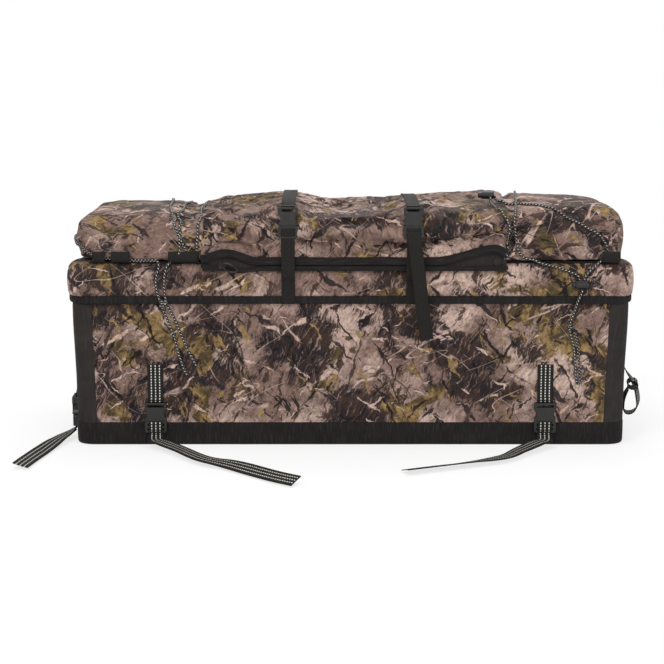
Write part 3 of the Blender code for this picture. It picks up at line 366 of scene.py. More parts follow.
class Line:
    """A row of points read by its share of the whole length."""

    def __init__(self, points):
        self.points = [Vector(point) for point in points]
        self.reach = [0.0]
        for near, far in zip(self.points, self.points[1:]):
            self.reach.append(self.reach[-1] + (far - near).length)
        self.length = self.reach[-1]

    def at(self, share):
        want = min(max(share, 0.0), 1.0) * self.length
        index = min(max(bisect.bisect_right(self.reach, want) - 1, 0), len(self.points) - 2)
        span = self.reach[index + 1] - self.reach[index]
        part = (want - self.reach[index]) / span if span > 1e-12 else 0.0
        return self.points[index].lerp(self.points[index + 1], part)

    def along(self, share):
        step = 0.002
        return (self.at(share + step) - self.at(share - step)).normalized()


def turned_along(line, share, lift=0.0):
    """Give the matrix of a place on a line, its X axis along the line."""
    spot = line.at(share) + Vector((0, 0, lift))
    return Matrix.Translation(spot) @ line.along(share).to_track_quat("X", "Z").to_matrix().to_4x4()


def smooth_route(points, per_span=6):
    """Read points from a smooth curve that passes through every point of a route."""
    route = [Vector(point) for point in points]
    padded = [2 * route[0] - route[1]] + route + [2 * route[-1] - route[-2]]
    read = []
    for index in range(1, len(padded) - 2):
        before, start, end, after = padded[index - 1:index + 3]
        for step in range(per_span):
            t = step / per_span
            read.append(0.5 * (2 * start + (end - before) * t
                               + (2 * before - 5 * start + 4 * end - after) * t ** 2
                               + (3 * start - before - 3 * end + after) * t ** 3))
    read.append(route[-1])
    return read


def ease(value, low, high):
    """Ease from 0 to 1 as a value passes between two limits."""
    share = min(max((value - low) / (high - low), 0.0), 1.0)
    return share * share * (3 - 2 * share)


def hump(value, middle, width):
    """Give a smooth bump of height 1 about a middle."""
    return math.exp(-((value - middle) / width) ** 2)


def ripple(x, y, z=0.0, scale=1.0):
    """Give smooth noise from -1 to 1 at a place."""
    return noise.noise(Vector((x * scale, y * scale, z * scale)))


def keep_mesh(name, shape, material):
    """Finish a bmesh as a smooth-shaded object at the origin."""
    mesh = bpy.data.meshes.new(name)
    shape.to_mesh(mesh)
    shape.free()
    mesh.materials.append(material)
    mesh.shade_smooth()
    made = bpy.data.objects.new(name, mesh)
    bpy.context.scene.collection.objects.link(made)
    return made


def lay_cloth(name, across, along, place, size, material, offset=(0.0, 0.0), wrap=False, caps=False):
    """Lay a grid by a placing function of two shares, with a UV map in metres of cloth."""
    shape = bmesh.new()
    uv = shape.loops.layers.uv.new("UVMap")
    bmesh.ops.create_grid(shape, x_segments=across, y_segments=along, size=1.0)
    shares = {vert: ((vert.co.x + 1) / 2, (vert.co.y + 1) / 2) for vert in shape.verts}
    for face in shape.faces:
        for loop in face.loops:
            s, t = shares[loop.vert]
            loop[uv].uv = (s * size[0] + offset[0], t * size[1] + offset[1])
    for vert, (s, t) in shares.items():
        vert.co = place(s, t)
    if wrap:
        bmesh.ops.remove_doubles(shape, verts=shape.verts, dist=1e-6)
    if caps:
        bmesh.ops.holes_fill(shape, edges=[edge for edge in shape.edges if edge.is_boundary])
        bmesh.ops.recalc_face_normals(shape, faces=shape.faces)
    return keep_mesh(name, shape, material)


def thicken(piece, thickness, offset=-1.0):
    """Give a cloth its thickness."""
    made = piece.modifiers.new("cloth thickness", "SOLIDIFY")
    made.thickness = thickness
    made.offset = offset
    return piece


def soften(piece, levels=1):
    """Smooth a cloth by subdivision."""
    made = piece.modifiers.new("soft surface", "SUBSURF")
    made.levels = levels
    made.render_levels = levels
    made.use_limit_surface = False
    return piece


def swell(piece, held, excess, cap, pressure=4.0):
    """Let loose cloth puff and wrinkle under light pressure, and keep the shape it takes."""
    group = piece.vertex_groups.new(name="held")
    start = [vert.co.copy() for vert in piece.data.vertices]
    for vert in piece.data.vertices:
        grip = held(vert.co)
        if grip > 0.01:
            group.add([vert.index], min(grip, 1.0), "REPLACE")
    made = piece.modifiers.new("puffed cloth", "CLOTH")
    cloth = made.settings
    cloth.quality = 5
    cloth.mass = 0.2
    cloth.tension_stiffness = 15
    cloth.compression_stiffness = 15
    cloth.shear_stiffness = 5
    cloth.bending_stiffness = 0.2
    cloth.use_pressure = True
    cloth.uniform_pressure_force = pressure
    cloth.shrink_min = -excess
    cloth.shrink_max = -excess
    cloth.effector_weights.gravity = 0.0
    cloth.vertex_group_mass = group.name
    made.collision_settings.use_collision = False
    made.point_cache.frame_start = 1
    made.point_cache.frame_end = CLOTH_STEPS
    for step in range(1, CLOTH_STEPS + 1):
        bpy.context.scene.frame_set(step)
    done = piece.evaluated_get(bpy.context.evaluated_depsgraph_get())
    shape = [vert.co.copy() for vert in done.data.vertices]
    piece.modifiers.remove(made)
    piece.vertex_groups.remove(group)
    bpy.context.scene.frame_set(1)
    for vert, old, new in zip(piece.data.vertices, start, shape):
        move = new - old
        if move.length > cap:
            move *= cap / move.length
        vert.co = old + move


def settle(piece, body, slot, *nodes):
    """Set what a piece rides on and hide the imported parts it stands for; `slot` is not used."""
    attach(piece, body)
    if nodes:
        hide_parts(*nodes)
    return piece


def webbing(name, route, sides, width, material, per_metre=260):
    """Lay flat webbing along a dense route, `sides` giving its width direction along it."""
    line = Line(route)
    count = len(sides) - 1

    def side_at(share):
        if count == 0:
            return Vector(sides[0])
        spot = min(max(share, 0.0), 1.0) * count
        index = min(int(spot), count - 1)
        return Vector(sides[index]).lerp(Vector(sides[index + 1]), spot - index)

    def place(s, t):
        way = line.along(t)
        side = side_at(t)
        side = (side - way * side.dot(way)).normalized()
        lift = way.cross(side)
        crown = 0.0004 * (1 - (2 * s - 1) ** 2)
        return line.at(t) + side * ((s - 0.5) * width) + lift * crown

    steps = max(8, int(line.length * per_metre))
    made = lay_cloth(name, 8, steps, place, (width, line.length), material, (-width / 2, 0.0))
    return thicken(made, WEB, 0.0)


def in_plane(x, profile):
    """Give a dense YZ route at one x."""
    return smooth_route([(x, y, z) for y, z in profile], 5)


def cord_tube(name, route, radius=CORD_RADIUS, material=None):
    """Sweep a round cord along a dense route, its UV turning round it and running in metres along it."""
    line = Line(route)
    steps = max(12, int(line.length / 0.003))
    ways = [line.along(step / steps) for step in range(steps + 1)]
    normal = ways[0].orthogonal().normalized()
    frames = []
    for way in ways:
        normal = (normal - way * normal.dot(way)).normalized()
        frames.append((normal.copy(), way.cross(normal)))

    def place(s, t):
        first, second = frames[min(int(round(t * steps)), steps)]
        turn = 2 * math.pi * s
        return line.at(t) + (first * math.cos(turn) + second * math.sin(turn)) * radius

    return lay_cloth(name, 12, steps, place, (1.0, line.length), material or ELASTIC, wrap=True, caps=True)


def surface_of(*pieces):
    """Read the finished surfaces of some pieces for finding what lies on them."""
    view = bpy.context.evaluated_depsgraph_get()
    trees = []
    for piece in pieces:
        trees.append(BVHTree.FromObject(piece, view))
    return trees


def lay_on(points, cloths, clear, middle, reach=None):
    """Draw a route down onto the cloths it lies over, and keep it clear of them."""
    route = [Vector(point) for point in points]
    for turn in range(8):
        hugging = turn < 7
        for index, spot in enumerate(route):
            near = None
            for tree, edges_count in cloths:
                found, normal, _, _ = tree.find_nearest(spot, 0.04)
                if found is None or (abs(normal.x) > 0.6 and not edges_count):
                    continue
                outward = normal if normal.dot(spot - Vector((spot.x, *middle))) > 0 else -normal
                gap = (spot - found).dot(outward)
                if near is None or gap < near[0]:
                    near = (gap, outward)
            if near is None:
                continue
            gap, outward = near
            limit = reach or 0.006 + 0.040 * ease(spot.z, 0.314, 0.334)
            if gap < clear:
                route[index] = spot + outward * (clear - gap)
            elif hugging and gap < limit and 0 < index < len(route) - 1:
                route[index] = spot - outward * ((gap - clear) * (1 - ease(gap, 0.5 * limit, limit)))
        if hugging:
            calm = [0.25 * a + 0.5 * b + 0.25 * c for a, b, c in zip(route, route[1:], route[2:])]
            route = [route[0]] + calm + [route[-1]]
    return route


def stitch_row(name, route, body, pitch=0.0042, size=(0.0026, 0.0007), material=None, slot="black_cloth"):
    """Sew a row of raised stitches along a dense route."""
    line = Line(route)
    count = int(line.length / pitch)
    shape = bmesh.new()
    for index in range(count):
        turn = turned_along(line, (index + 0.5) / count)
        stretch = Matrix.Diagonal((size[0] / 2, size[1] / 2, size[1] / 2, 1))
        bmesh.ops.create_icosphere(shape, subdivisions=1, radius=1.0, matrix=turn @ stretch)
    return settle(keep_mesh(name, shape, material or THREAD), body, slot)


def rounded_plan(half, radius, steps=8):
    """Give a closed rounded plan outline, anticlockwise from the middle of the back."""
    x = half[0] - radius
    y = half[1] - radius
    outline = []
    for turn, centre in enumerate(((-x, y), (-x, -y), (x, -y), (x, y))):
        for step in range(steps + 1):
            angle = math.radians(90 * turn + 90 + 90 * step / steps)
            outline.append((centre[0] + radius * math.cos(angle), centre[1] + radius * math.sin(angle), 0.0))
    middle = (0.0, half[1], 0.0)
    return [middle] + outline + [middle]


def front_corners(outline):
    """Give the front left and front right arcs of a rounded plan outline."""
    return outline[10:19], outline[19:28]


def wall_piece(name, plan, profile, out_at, across, along, material, offset, wrap=False, shift=Vector):
    """Raise a wall on a plan line; `profile` gives (outward, z) up it and `out_at` adds folds."""
    line = Line(plan)
    rise = Line([(out, z, 0.0) for out, z in profile])

    def place(s, t):
        share = s % 1.0 if wrap else s
        spot = line.at(share)
        way = line.along(share)
        if wrap and (share < 0.002 or share > 0.998):
            way = Vector((-1, 0, 0))
        outward = Vector((way.y, -way.x, 0.0))
        out, z, _ = rise.at(t)
        out += out_at(spot.x, spot.y, z)
        return shift(Vector((spot.x, spot.y, z)) + outward * out)

    return lay_cloth(name, across, along, place, (line.length, rise.length), material, offset, wrap=wrap)


def flare(y, z):
    """The cloth stands out towards the rim, where it covers the zip tape; the back has none."""
    return 0.0024 * ease(z, 0.100, 0.222) * (1 - ease(y, 0.090, 0.110))


def lean(spot):
    """Let the front of the bag widen a little towards its rim."""
    up = min(max((spot.z - 0.040) / 0.199, 0.0), 1.0)
    wider = 1 + 0.0125 * up * ease(-spot.y, 0.122, 0.150)
    return Vector((spot.x * wider, spot.y, spot.z))


def below_zip(spot):
    """Lower the corner cloth's rim on the ends of the bag, where the zip sliders pass."""
    leant = lean(spot)
    share = ease(abs(spot.x), 0.436, 0.448) * ease(spot.y, -0.142, -0.130)
    leant.z -= share * (leant.z - WALL_FOOT) * (PANEL_TOP - SLIDER_FOOT) / (PANEL_TOP - WALL_FOOT)
    return leant


def front_folds(x, y, z):
    """Give the swell, drape and seams of the front and back panels."""
    up = (z - BAND_TOP) / (PANEL_TOP - BAND_TOP)
    belly = 0.0006 * math.sin(math.pi * min(max(up, 0), 1))
    drape = 0.0005 * ripple(x, z * 0.35, 3.0 + y, 14) + 0.0004 * ripple(x * 0.5, z, 7.0 - y, 22)
    seams = 0.0
    for seam in (-TIE_X - 0.022, -TIE_X + 0.022, TIE_X - 0.022, TIE_X + 0.022):
        seams -= 0.0012 * hump(x, seam, 0.0022)
    return belly + drape + seams + flare(y, z)


def end_folds(x, y, z):
    """Give the swell and drape of the end panels."""
    up = (z - BAND_TOP) / (END_PANEL_TOP - BAND_TOP)
    belly = 0.0018 * math.sin(math.pi * min(max(up, 0), 1)) * (1 - ease(z, 0.17, 0.20))
    return belly + 0.0004 * ripple(y, z * 0.5, x, 16)


def trim_folds(x, y, z):
    """Give how far the corner trims stand out over the panels."""
    return 0.0007 + 0.0004 * ripple(x + y, z * 0.6, 1.0, 26) + flare(y, z)


def make_body():
    """Make the bag's walls: camouflage panels, black corners, band, base and lining."""
    edge_x, edge_y = TRIM_EDGE
    half_x, half_y = BODY_HALF
    walls = (
        ("front_panel", (-edge_x, -half_y), (edge_x, -half_y), front_folds, PANEL_TOP, 300, 70, (0.3, 0.1)),
        ("back_panel", (edge_x, half_y), (-edge_x, half_y), front_folds, END_PANEL_TOP, 260, 60, (2.3, 1.1)),
        ("left_end_panel", (-half_x, edge_y), (-half_x, -edge_y), end_folds, END_PANEL_TOP, 90, 60, (4.1, 2.2)),
        ("right_end_panel", (half_x, -edge_y), (half_x, edge_y), end_folds, END_PANEL_TOP, 90, 60, (5.2, 3.1)),
    )
    for name, start, end, folds, top, across, along, offset in walls:
        panel = wall_piece(f"{name}_cloth", [(*start, 0), (*end, 0)], [(0.0, WALL_FOOT), (0.0, top)], folds, across,
                           along, CAMO, offset, shift=lean)
        thicken(panel, 0.004)
        settle(panel, "root", "camo_cloth", name)
    _, corner = front_corners(rounded_plan(BODY_HALF, BODY_CORNER))
    lap = 0.0012
    for sx, across in ((-1, "left"), (1, "right")):
        for sy, along in ((-1, "front"), (1, "back")):
            plan = [(edge_x - lap, -half_y, 0)] + corner + [(half_x, -edge_y + lap, 0)]
            plan = [(sx * x, -sy * y, z) for x, y, z in plan]
            if sx * sy > 0:
                plan = plan[::-1]
            name = f"corner_trim_{along}_{across}"
            top = PANEL_TOP if along == "front" else END_PANEL_TOP
            trim = wall_piece(f"{name}_cloth", plan, [(0.0, WALL_FOOT), (0.0, top)], trim_folds, 40, 60, BLACK,
                              (0.2 * sx, 0.4 * sy), shift=below_zip if along == "front" else lean)
            settle(thicken(trim, 0.004), "root", "black_cloth", name)
    profile = [(-0.004, 0.0012), (-0.001, 0.0), (0.0010, 0.0030), (0.0014, 0.018), (0.0012, 0.0365),
               (0.0004, BAND_TOP)]
    band = wall_piece("base_band_cloth", rounded_plan(BODY_HALF, BODY_CORNER), profile,
                      lambda x, y, z: 0.0004 * ripple(x, y, z, 20), 360, 20, BAND_BLACK, (0, 0), wrap=True)
    settle(thicken(band, 0.006), "root", "black_cloth", "base_band")

    def floor_spot(s, t):
        x = (s - 0.5) * 0.884
        y = (t - 0.5) * 0.279
        return Vector((x, y, 0.0012 + 0.0006 * ripple(x, y, 0, 18)))

    base = lay_cloth("base_cloth", 120, 40, floor_spot, (0.884, 0.279), BLACK, (1.0, 1.0))
    settle(thicken(base, 0.008, 1.0), "root", "black_cloth", "base_panel")

    def lining_top(x, y):
        return END_PANEL_TOP - 0.0006 if abs(x) > 0.43 and abs(y) < 0.119 else PANEL_TOP - 0.0004

    plan = Line(rounded_plan(BODY_HALF, BODY_CORNER))
    rise = [(-0.0112, 0.0), (-0.0112, 0.86), (-0.0100, 0.95), (-0.0070, 0.99), (-0.0030, 1.0)]
    climb = Line([(out, up * 0.22, 0) for out, up in rise])

    def lining_spot(s, t):
        share = s % 1.0
        spot = plan.at(share)
        way = plan.along(share) if 0.002 < share < 0.998 else Vector((-1, 0, 0))
        out, up, _ = climb.at(t)
        top = lining_top(spot.x, spot.y)
        z = 0.0138 + (top - 0.0138) * up / 0.22
        out += 0.0006 * ripple(spot.x, spot.y, z, 22)
        return Vector((spot.x, spot.y, z)) + Vector((way.y, -way.x, 0)) * out

    lining = lay_cloth("body_lining", 260, 40, lining_spot, (plan.length, 0.23), BLACK, (3, 3), wrap=True)
    settle(lining, "root", "black_cloth")


def lid_folds(x, y, z):
    """Give the loose cloth and seams of the lid's side wall."""
    up = (z - 0.250) / 0.053
    loose = 0.0011 * ripple(x, z * 0.8, y, 17) + 0.0006 * ripple(x * 1.6, z, y + 4, 34)
    seams = 0.0
    if y < 0:
        for seam in (-0.344, 0.406):
            seams -= 0.0016 * hump(x, seam, 0.0030)
    return loose * math.sin(math.pi * min(max(up, 0), 1)) + seams - 0.0010 * hump(z, 0.2925, 0.0016)


def end_sag(x, y):
    """Give how far the lid's top sinks at its two ends, behind the front edge."""
    return 0.013 * ease(abs(x), 0.395, 0.455) * ease(y, -0.135, 0.03)


def droop(spot):
    """Lower a point of the lid's wall with the sagging ends of its top."""
    up = min(max((spot.z - 0.256) / 0.046, 0.0), 1.0)
    return Vector((spot.x, spot.y, spot.z - end_sag(spot.x, spot.y) * up))


def make_lid():
    """Make the lid: boxing, top, hem, lining and the sewn hinge."""
    outline = rounded_plan(LID_HALF, LID_CORNER)
    profile = [(-0.0055, 0.2506), (-0.0010, 0.2502), (0.0012, 0.2540), (0.0022, 0.2640), (0.0026, 0.2750),
               (0.0022, 0.2860), (0.0008, 0.2945), (-0.0020, 0.2998), (-0.0060, 0.3030), (-0.0120, 0.3041)]
    boxing = wall_piece("lid_boxing_cloth", outline, smooth_profile(profile), lid_folds, 520, 36, CAMO, (0.0, 5.0),
                        wrap=True, shift=droop)
    settle(thicken(boxing, 0.004), "lid", "camo_cloth", "lid_boxing")

    def top_spot(s, t):
        x = (s - 0.5) * 2 * (LID_HALF[0] - LID_TOP_INSET)
        y = (t - 0.5) * 2 * (LID_HALF[1] - LID_TOP_INSET)
        reach = LID_CORNER - LID_TOP_INSET
        cx = LID_HALF[0] - LID_TOP_INSET - reach
        cy = LID_HALF[1] - LID_TOP_INSET - reach
        if abs(x) > cx and abs(y) > cy:
            away = Vector((abs(x) - cx, abs(y) - cy))
            if away.length > reach:
                away = away.normalized() * reach
                x = math.copysign(cx + away.x, x)
                y = math.copysign(cy + away.y, y)
        return Vector((x, y, 0.3038 + 0.0008 * ripple(x, y, 1.0, 15) - end_sag(x, y)))

    top = lay_cloth("lid_top_cloth", 200, 70, top_spot, (0.90, 0.295), CAMO, (1.7, 6.3))
    settle(thicken(top, 0.006), "lid", "camo_cloth", "lid_top_panel")
    hem_plan = rounded_plan((0.461, 0.1585), 0.0365)
    hem_profile = [(-0.0030, 0.2384), (-0.0008, 0.2378), (0.0004, 0.2400), (0.0006, 0.2440), (0.0005, 0.2480),
                   (-0.0004, 0.2506), (-0.0030, 0.2508)]
    hem = wall_piece("lid_hem_cloth", hem_plan, hem_profile, lambda x, y, z: 0.0004 * ripple(x, y, z, 24), 420, 14,
                     BAND_BLACK, (0, 2), wrap=True)
    settle(thicken(hem, 0.0012), "lid", "black_cloth", "lid_hem_band")
    front_left, front_right = front_corners(outline)
    sewn = [(x * 1.0018, y * 1.009, 0.2905) for x, y, _ in front_left + front_right]
    stitch_row("lid_top_stitch", sewn, "lid", slot="camo_cloth")
    inside = [(-0.0085, 0.2506), (-0.0090, 0.2700), (-0.0095, 0.2880), (-0.0130, 0.2935), (-0.0200, 0.2945)]
    lining = wall_piece("lid_lining", outline, inside, lambda x, y, z: 0.0006 * ripple(x, y, z, 20), 260, 20, BLACK,
                        (6, 6), wrap=True, shift=droop)
    settle(lining, "lid", "black_cloth")
    under = Vector((0.0, 0.0, LINING_DEPTH))
    lining = lay_cloth("lid_lining_top", 120, 40, lambda s, t: top_spot(s, t) - under, (0.90, 0.295), BLACK, (6, 9))
    settle(lining, "lid", "black_cloth")

    def hinge_spot(s, t):
        x = (s - 0.5) * 0.849
        z = 0.202 + t * 0.048
        return Vector((x, 0.1512 + 0.0019 * ease(z, 0.206, 0.222), z))

    hinge = lay_cloth("hinge_cloth", 160, 30, hinge_spot, (0.849, 0.048), BLACK, (2, 7))
    thicken(hinge, 0.0012, 1.0)
    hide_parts("lid_hinge_tape")
    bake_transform(hinge)


def smooth_profile(profile):
    """Round off an (outward, z) profile."""
    return [(point.x, point.y) for point in smooth_route([(out, z, 0) for out, z in profile], 4)]


def zip_plan(grow):
    """Give the zip's plan line, from the back left round the front to the back right."""
    half = (BODY_HALF[0] + grow, BODY_HALF[1] + grow)
    outline = rounded_plan(half, BODY_CORNER + grow)
    back = BODY_HALF[1] - BODY_CORNER - 0.004
    front_left, front_right = front_corners(outline)
    return [(-half[0], back, 0)] + front_left + front_right + [(half[0], back, 0)]


def make_zip():
    """Make both zip tapes with their teeth."""
    tapes = (
        ("zip_tape_lower", 0.2240, 0.2397, "root", 0.2388, 0.5),
        ("zip_tape_upper", 0.2423, 0.2500, "lid", 0.2432, 0.0))
    for name, foot, top, body, edge, stagger in tapes:
        plan = zip_plan(0.0009)
        tape = wall_piece(f"{name}_weave", plan, [(0, foot), (0, top)], lambda x, y, z: 0.0, 360, 6, PLAIN_WEB, (0, 0))
        settle(thicken(tape, 0.0011, 0.0), body, "black_webbing", name)
        line = Line(plan)
        count = int(line.length / 0.0032)
        shape = bmesh.new()
        for index in range(count):
            turn = turned_along(line, (index + stagger) / count, edge)
            bmesh.ops.create_cube(shape, size=1.0, matrix=turn @ Matrix.Diagonal((0.0016, 0.0021, 0.0017, 1)))
        bmesh.ops.bevel(shape, geom=list(shape.edges), offset=0.0003, segments=1, profile=0.5, affect="EDGES",
                        material=-1)
        settle(keep_mesh(f"{name}_teeth", shape, PLASTIC), body, "black_webbing")


def section_outline(steps=180):
    """Give the roll's section: rounded above, and flattened where it rests."""
    points = []
    for step in range(steps + 1):
        turn = 2 * math.pi * step / steps - math.pi / 2
        c = math.cos(turn)
        s = math.sin(turn)
        power = 2 / 4.2 if s > 0 else 2 / 8.0
        points.append((-math.copysign(abs(c) ** power, c), math.copysign(abs(s) ** power, s), 0))
    return points


def stretched(points):
    """Stretch a unit outline to the roll's section."""
    return Line([(y * ROLL_HALF[1], z * ROLL_HALF[2], 0) for y, z, _ in points])


ROLL_SECTION = stretched(section_outline())
ROLL_MIDDLE = (ROLL_MID[1], ROLL_MID[2])

# Lashing cord routes in metres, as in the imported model
LEFT_OUTER = [
    (-0.2670, -0.1530, 0.1177), (-0.2737, -0.1530, 0.1310), (-0.2820, -0.1530, 0.1585),
    (-0.2870, -0.1535, 0.1800), (-0.2965, -0.1560, 0.2075), (-0.3050, -0.1605, 0.2300),
    (-0.3110, -0.1618, 0.2480), (-0.3160, -0.1620, 0.2700), (-0.3140, -0.1618, 0.2870),
    (-0.3100, -0.1600, 0.3010), (-0.3180, -0.1530, 0.3092), (-0.3450, -0.1490, 0.3090),
    (-0.3800, -0.1490, 0.3090), (-0.4080, -0.1480, 0.3105), (-0.4330, -0.1360, 0.3230),
    (-0.4455, -0.1120, 0.3310), (-0.4490, -0.0700, 0.3380), (-0.4495, -0.0050, 0.3390),
    (-0.4490, 0.0500, 0.3380), (-0.4455, 0.0870, 0.3310), (-0.4330, 0.1110, 0.3230),
    (-0.4120, 0.1250, 0.3130), (-0.3800, 0.1380, 0.3092), (-0.3400, 0.1390, 0.3100),
    (-0.3180, 0.1372, 0.3220), (-0.3120, 0.1358, 0.3450), (-0.3110, 0.1352, 0.3640),
    (-0.3100, 0.1318, 0.3790), (-0.3090, 0.1160, 0.3900), (-0.3060, 0.0750, 0.3952),
    (-0.3000, -0.0100, 0.3954), (-0.2950, -0.0900, 0.3952), (-0.2910, -0.1400, 0.3902),
    (-0.2880, -0.1566, 0.3795), (-0.2830, -0.1606, 0.3640), (-0.2755, -0.1606, 0.3450),
    (-0.2670, -0.1606, 0.3280), (-0.2600, -0.1575, 0.3160), (-0.2565, -0.1490, 0.3092)]
LEFT_INNER = [
    (-0.2525, -0.1530, 0.1340), (-0.2670, -0.1530, 0.1634), (-0.2770, -0.1535, 0.1880),
    (-0.2868, -0.1560, 0.2140), (-0.2970, -0.1605, 0.2350), (-0.3015, -0.1614, 0.2530),
    (-0.3025, -0.1614, 0.2750), (-0.3000, -0.1612, 0.2940), (-0.2930, -0.1590, 0.3060),
    (-0.2830, -0.1580, 0.3120), (-0.2765, -0.1605, 0.3210), (-0.2745, -0.1645, 0.3330),
    (-0.2745, -0.1660, 0.3450), (-0.2745, -0.1640, 0.3620), (-0.2745, -0.1575, 0.3800),
    (-0.2745, -0.1400, 0.3902), (-0.2740, -0.0900, 0.3952), (-0.2720, -0.0100, 0.3954),
    (-0.2690, 0.0750, 0.3952), (-0.2670, 0.1160, 0.3900), (-0.2660, 0.1318, 0.3790),
    (-0.2655, 0.1356, 0.3600), (-0.2650, 0.1362, 0.3350), (-0.2620, 0.1390, 0.3150),
    (-0.2555, 0.1420, 0.3100), (-0.2490, 0.1390, 0.3150), (-0.2460, 0.1362, 0.3350),
    (-0.2455, 0.1356, 0.3600), (-0.2455, 0.1318, 0.3790), (-0.2455, 0.1160, 0.3900),
    (-0.2455, 0.0750, 0.3952), (-0.2455, -0.0100, 0.3954), (-0.2455, -0.0900, 0.3952),
    (-0.2455, -0.1400, 0.3902), (-0.2458, -0.1566, 0.3795), (-0.2465, -0.1606, 0.3620),
    (-0.2480, -0.1606, 0.3350), (-0.2490, -0.1575, 0.3160), (-0.2475, -0.1490, 0.3092)]
RIGHT_INNER = [
    (0.3700, -0.1643, 0.2782), (0.3680, -0.1640, 0.2860), (0.3500, -0.1620, 0.2930),
    (0.3360, -0.1618, 0.2985), (0.3130, -0.1610, 0.3040), (0.2930, -0.1595, 0.3090),
    (0.2770, -0.1580, 0.3150), (0.2695, -0.1600, 0.3270), (0.2660, -0.1606, 0.3450),
    (0.2640, -0.1606, 0.3620), (0.2635, -0.1568, 0.3795), (0.2670, -0.1400, 0.3902),
    (0.2730, -0.0900, 0.3952), (0.2800, -0.0100, 0.3954), (0.2860, 0.0750, 0.3952),
    (0.2900, 0.1160, 0.3900), (0.2920, 0.1318, 0.3790), (0.2935, 0.1356, 0.3600),
    (0.2950, 0.1362, 0.3350), (0.3020, 0.1390, 0.3150), (0.3200, 0.1395, 0.3095),
    (0.3600, 0.1390, 0.3092), (0.3950, 0.1370, 0.3092)]
RIGHT_OUTER = [
    (0.3780, -0.1643, 0.2782), (0.3800, -0.1640, 0.2860), (0.3900, -0.1618, 0.2960),
    (0.3990, -0.1595, 0.3040), (0.4090, -0.1545, 0.3110), (0.4170, -0.1490, 0.3200),
    (0.4150, -0.1485, 0.3320), (0.4060, -0.1500, 0.3480), (0.3800, -0.1552, 0.3670),
    (0.3550, -0.1512, 0.3820), (0.3310, -0.1390, 0.3905), (0.2960, -0.1200, 0.3960),
    (0.2740, -0.1060, 0.4002), (0.2620, -0.0980, 0.4035), (0.2520, -0.0920, 0.4058),
    (0.2440, -0.0870, 0.4066), (0.2366, -0.0850, 0.4070)]
RIGHT_OVER = [
    (0.2300, -0.0922, 0.4066), (0.2310, -0.1100, 0.4044), (0.2350, -0.1330, 0.4005),
    (0.2400, -0.1500, 0.3960), (0.2470, -0.1640, 0.3860), (0.2530, -0.1690, 0.3720),
    (0.2575, -0.1680, 0.3560), (0.2585, -0.1640, 0.3360), (0.2590, -0.1600, 0.3190),
    (0.2600, -0.1500, 0.3094)]
TAIL_RIGHT = [
    (0.3750, -0.1643, 0.2641), (0.3748, -0.1643, 0.2590), (0.3685, -0.1625, 0.2420),
    (0.3620, -0.1580, 0.2200), (0.3570, -0.1535, 0.2010), (0.3590, -0.1530, 0.1880),
    (0.3640, -0.1530, 0.1700), (0.3670, -0.1530, 0.1500), (0.3685, -0.1530, 0.1300),
    (0.3700, -0.1530, 0.1130), (0.3732, -0.1530, 0.1040), (0.3772, -0.1530, 0.1060),
    (0.3768, -0.1530, 0.1180), (0.3750, -0.1530, 0.1350), (0.3730, -0.1530, 0.1550),
    (0.3698, -0.1530, 0.1750), (0.3655, -0.1530, 0.1900)]
LEFT_FREE_POINTS = 6

# Free webbing: the route in metres and the width direction at each point of it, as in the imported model
TIE_TAILS = {
    "left": (
        [(-0.3200, -0.1556, 0.0227), (-0.3200, -0.1566, 0.0180), (-0.3200, -0.1620, 0.0140),
         (-0.3188, -0.1691, 0.0133), (-0.3150, -0.1761, 0.0129), (-0.3060, -0.1840, 0.0125),
         (-0.2760, -0.2150, 0.0095), (-0.2355, -0.2700, 0.0085), (-0.1850, -0.3080, 0.0080),
         (-0.1217, -0.3700, 0.0080), (-0.0847, -0.4000, 0.0080)],
        [(1, 0, 0), (1, 0, 0), (1, 0.10, 0), (0.94, 0.33, 0.03), (0.78, 0.62, 0.06), (0.75, 0.65, 0.10),
         (0.80, 0.60, 0.30), (0.70, 0.68, 0.40), (0.62, 0.75, 0.40), (0.66, 0.73, 0.40), (0.57, 0.80, 0.40)],
    ),
    "right": (
        [(0.3200, -0.1556, 0.0227), (0.3200, -0.1566, 0.0180), (0.3200, -0.1620, 0.0140),
         (0.3188, -0.1696, 0.0133), (0.3145, -0.1771, 0.0129), (0.3040, -0.1860, 0.0125),
         (0.2736, -0.2190, 0.0090), (0.2430, -0.2560, 0.0070), (0.1785, -0.2880, 0.0060),
         (0.1300, -0.3090, 0.0060), (0.0837, -0.3300, 0.0060)],
        [(1, 0, 0), (1, 0, 0), (1, -0.10, 0), (0.94, -0.33, 0.03), (0.77, -0.64, 0.06), (0.75, -0.65, 0.10),
         (0.75, -0.65, 0.20), (0.65, -0.72, 0.25), (0.42, -0.88, 0.25), (0.40, -0.90, 0.25), (0.41, -0.88, 0.25)],
    ),
}
SIDE_TAIL = (
    [(-0.4581, -0.0980, 0.0227), (-0.4588, -0.0980, 0.0175), (-0.4650, -0.0982, 0.0130), (-0.4740, -0.1130, 0.0100),
     (-0.4840, -0.1430, 0.0085), (-0.4925, -0.1780, 0.0075), (-0.5010, -0.2150, 0.0070),
     (-0.5110, -0.2600, 0.0070), (-0.5200, -0.3050, 0.0070)],
    [(0, 1, 0), (0, 1, 0), (-0.15, 0.98, 0), (-0.55, 0.80, 0.10), (-0.85, 0.45, 0.20),
     (-0.93, 0.30, 0.25), (-0.95, 0.22, 0.25), (-0.95, 0.22, 0.25), (-0.95, 0.20, 0.25)],
)
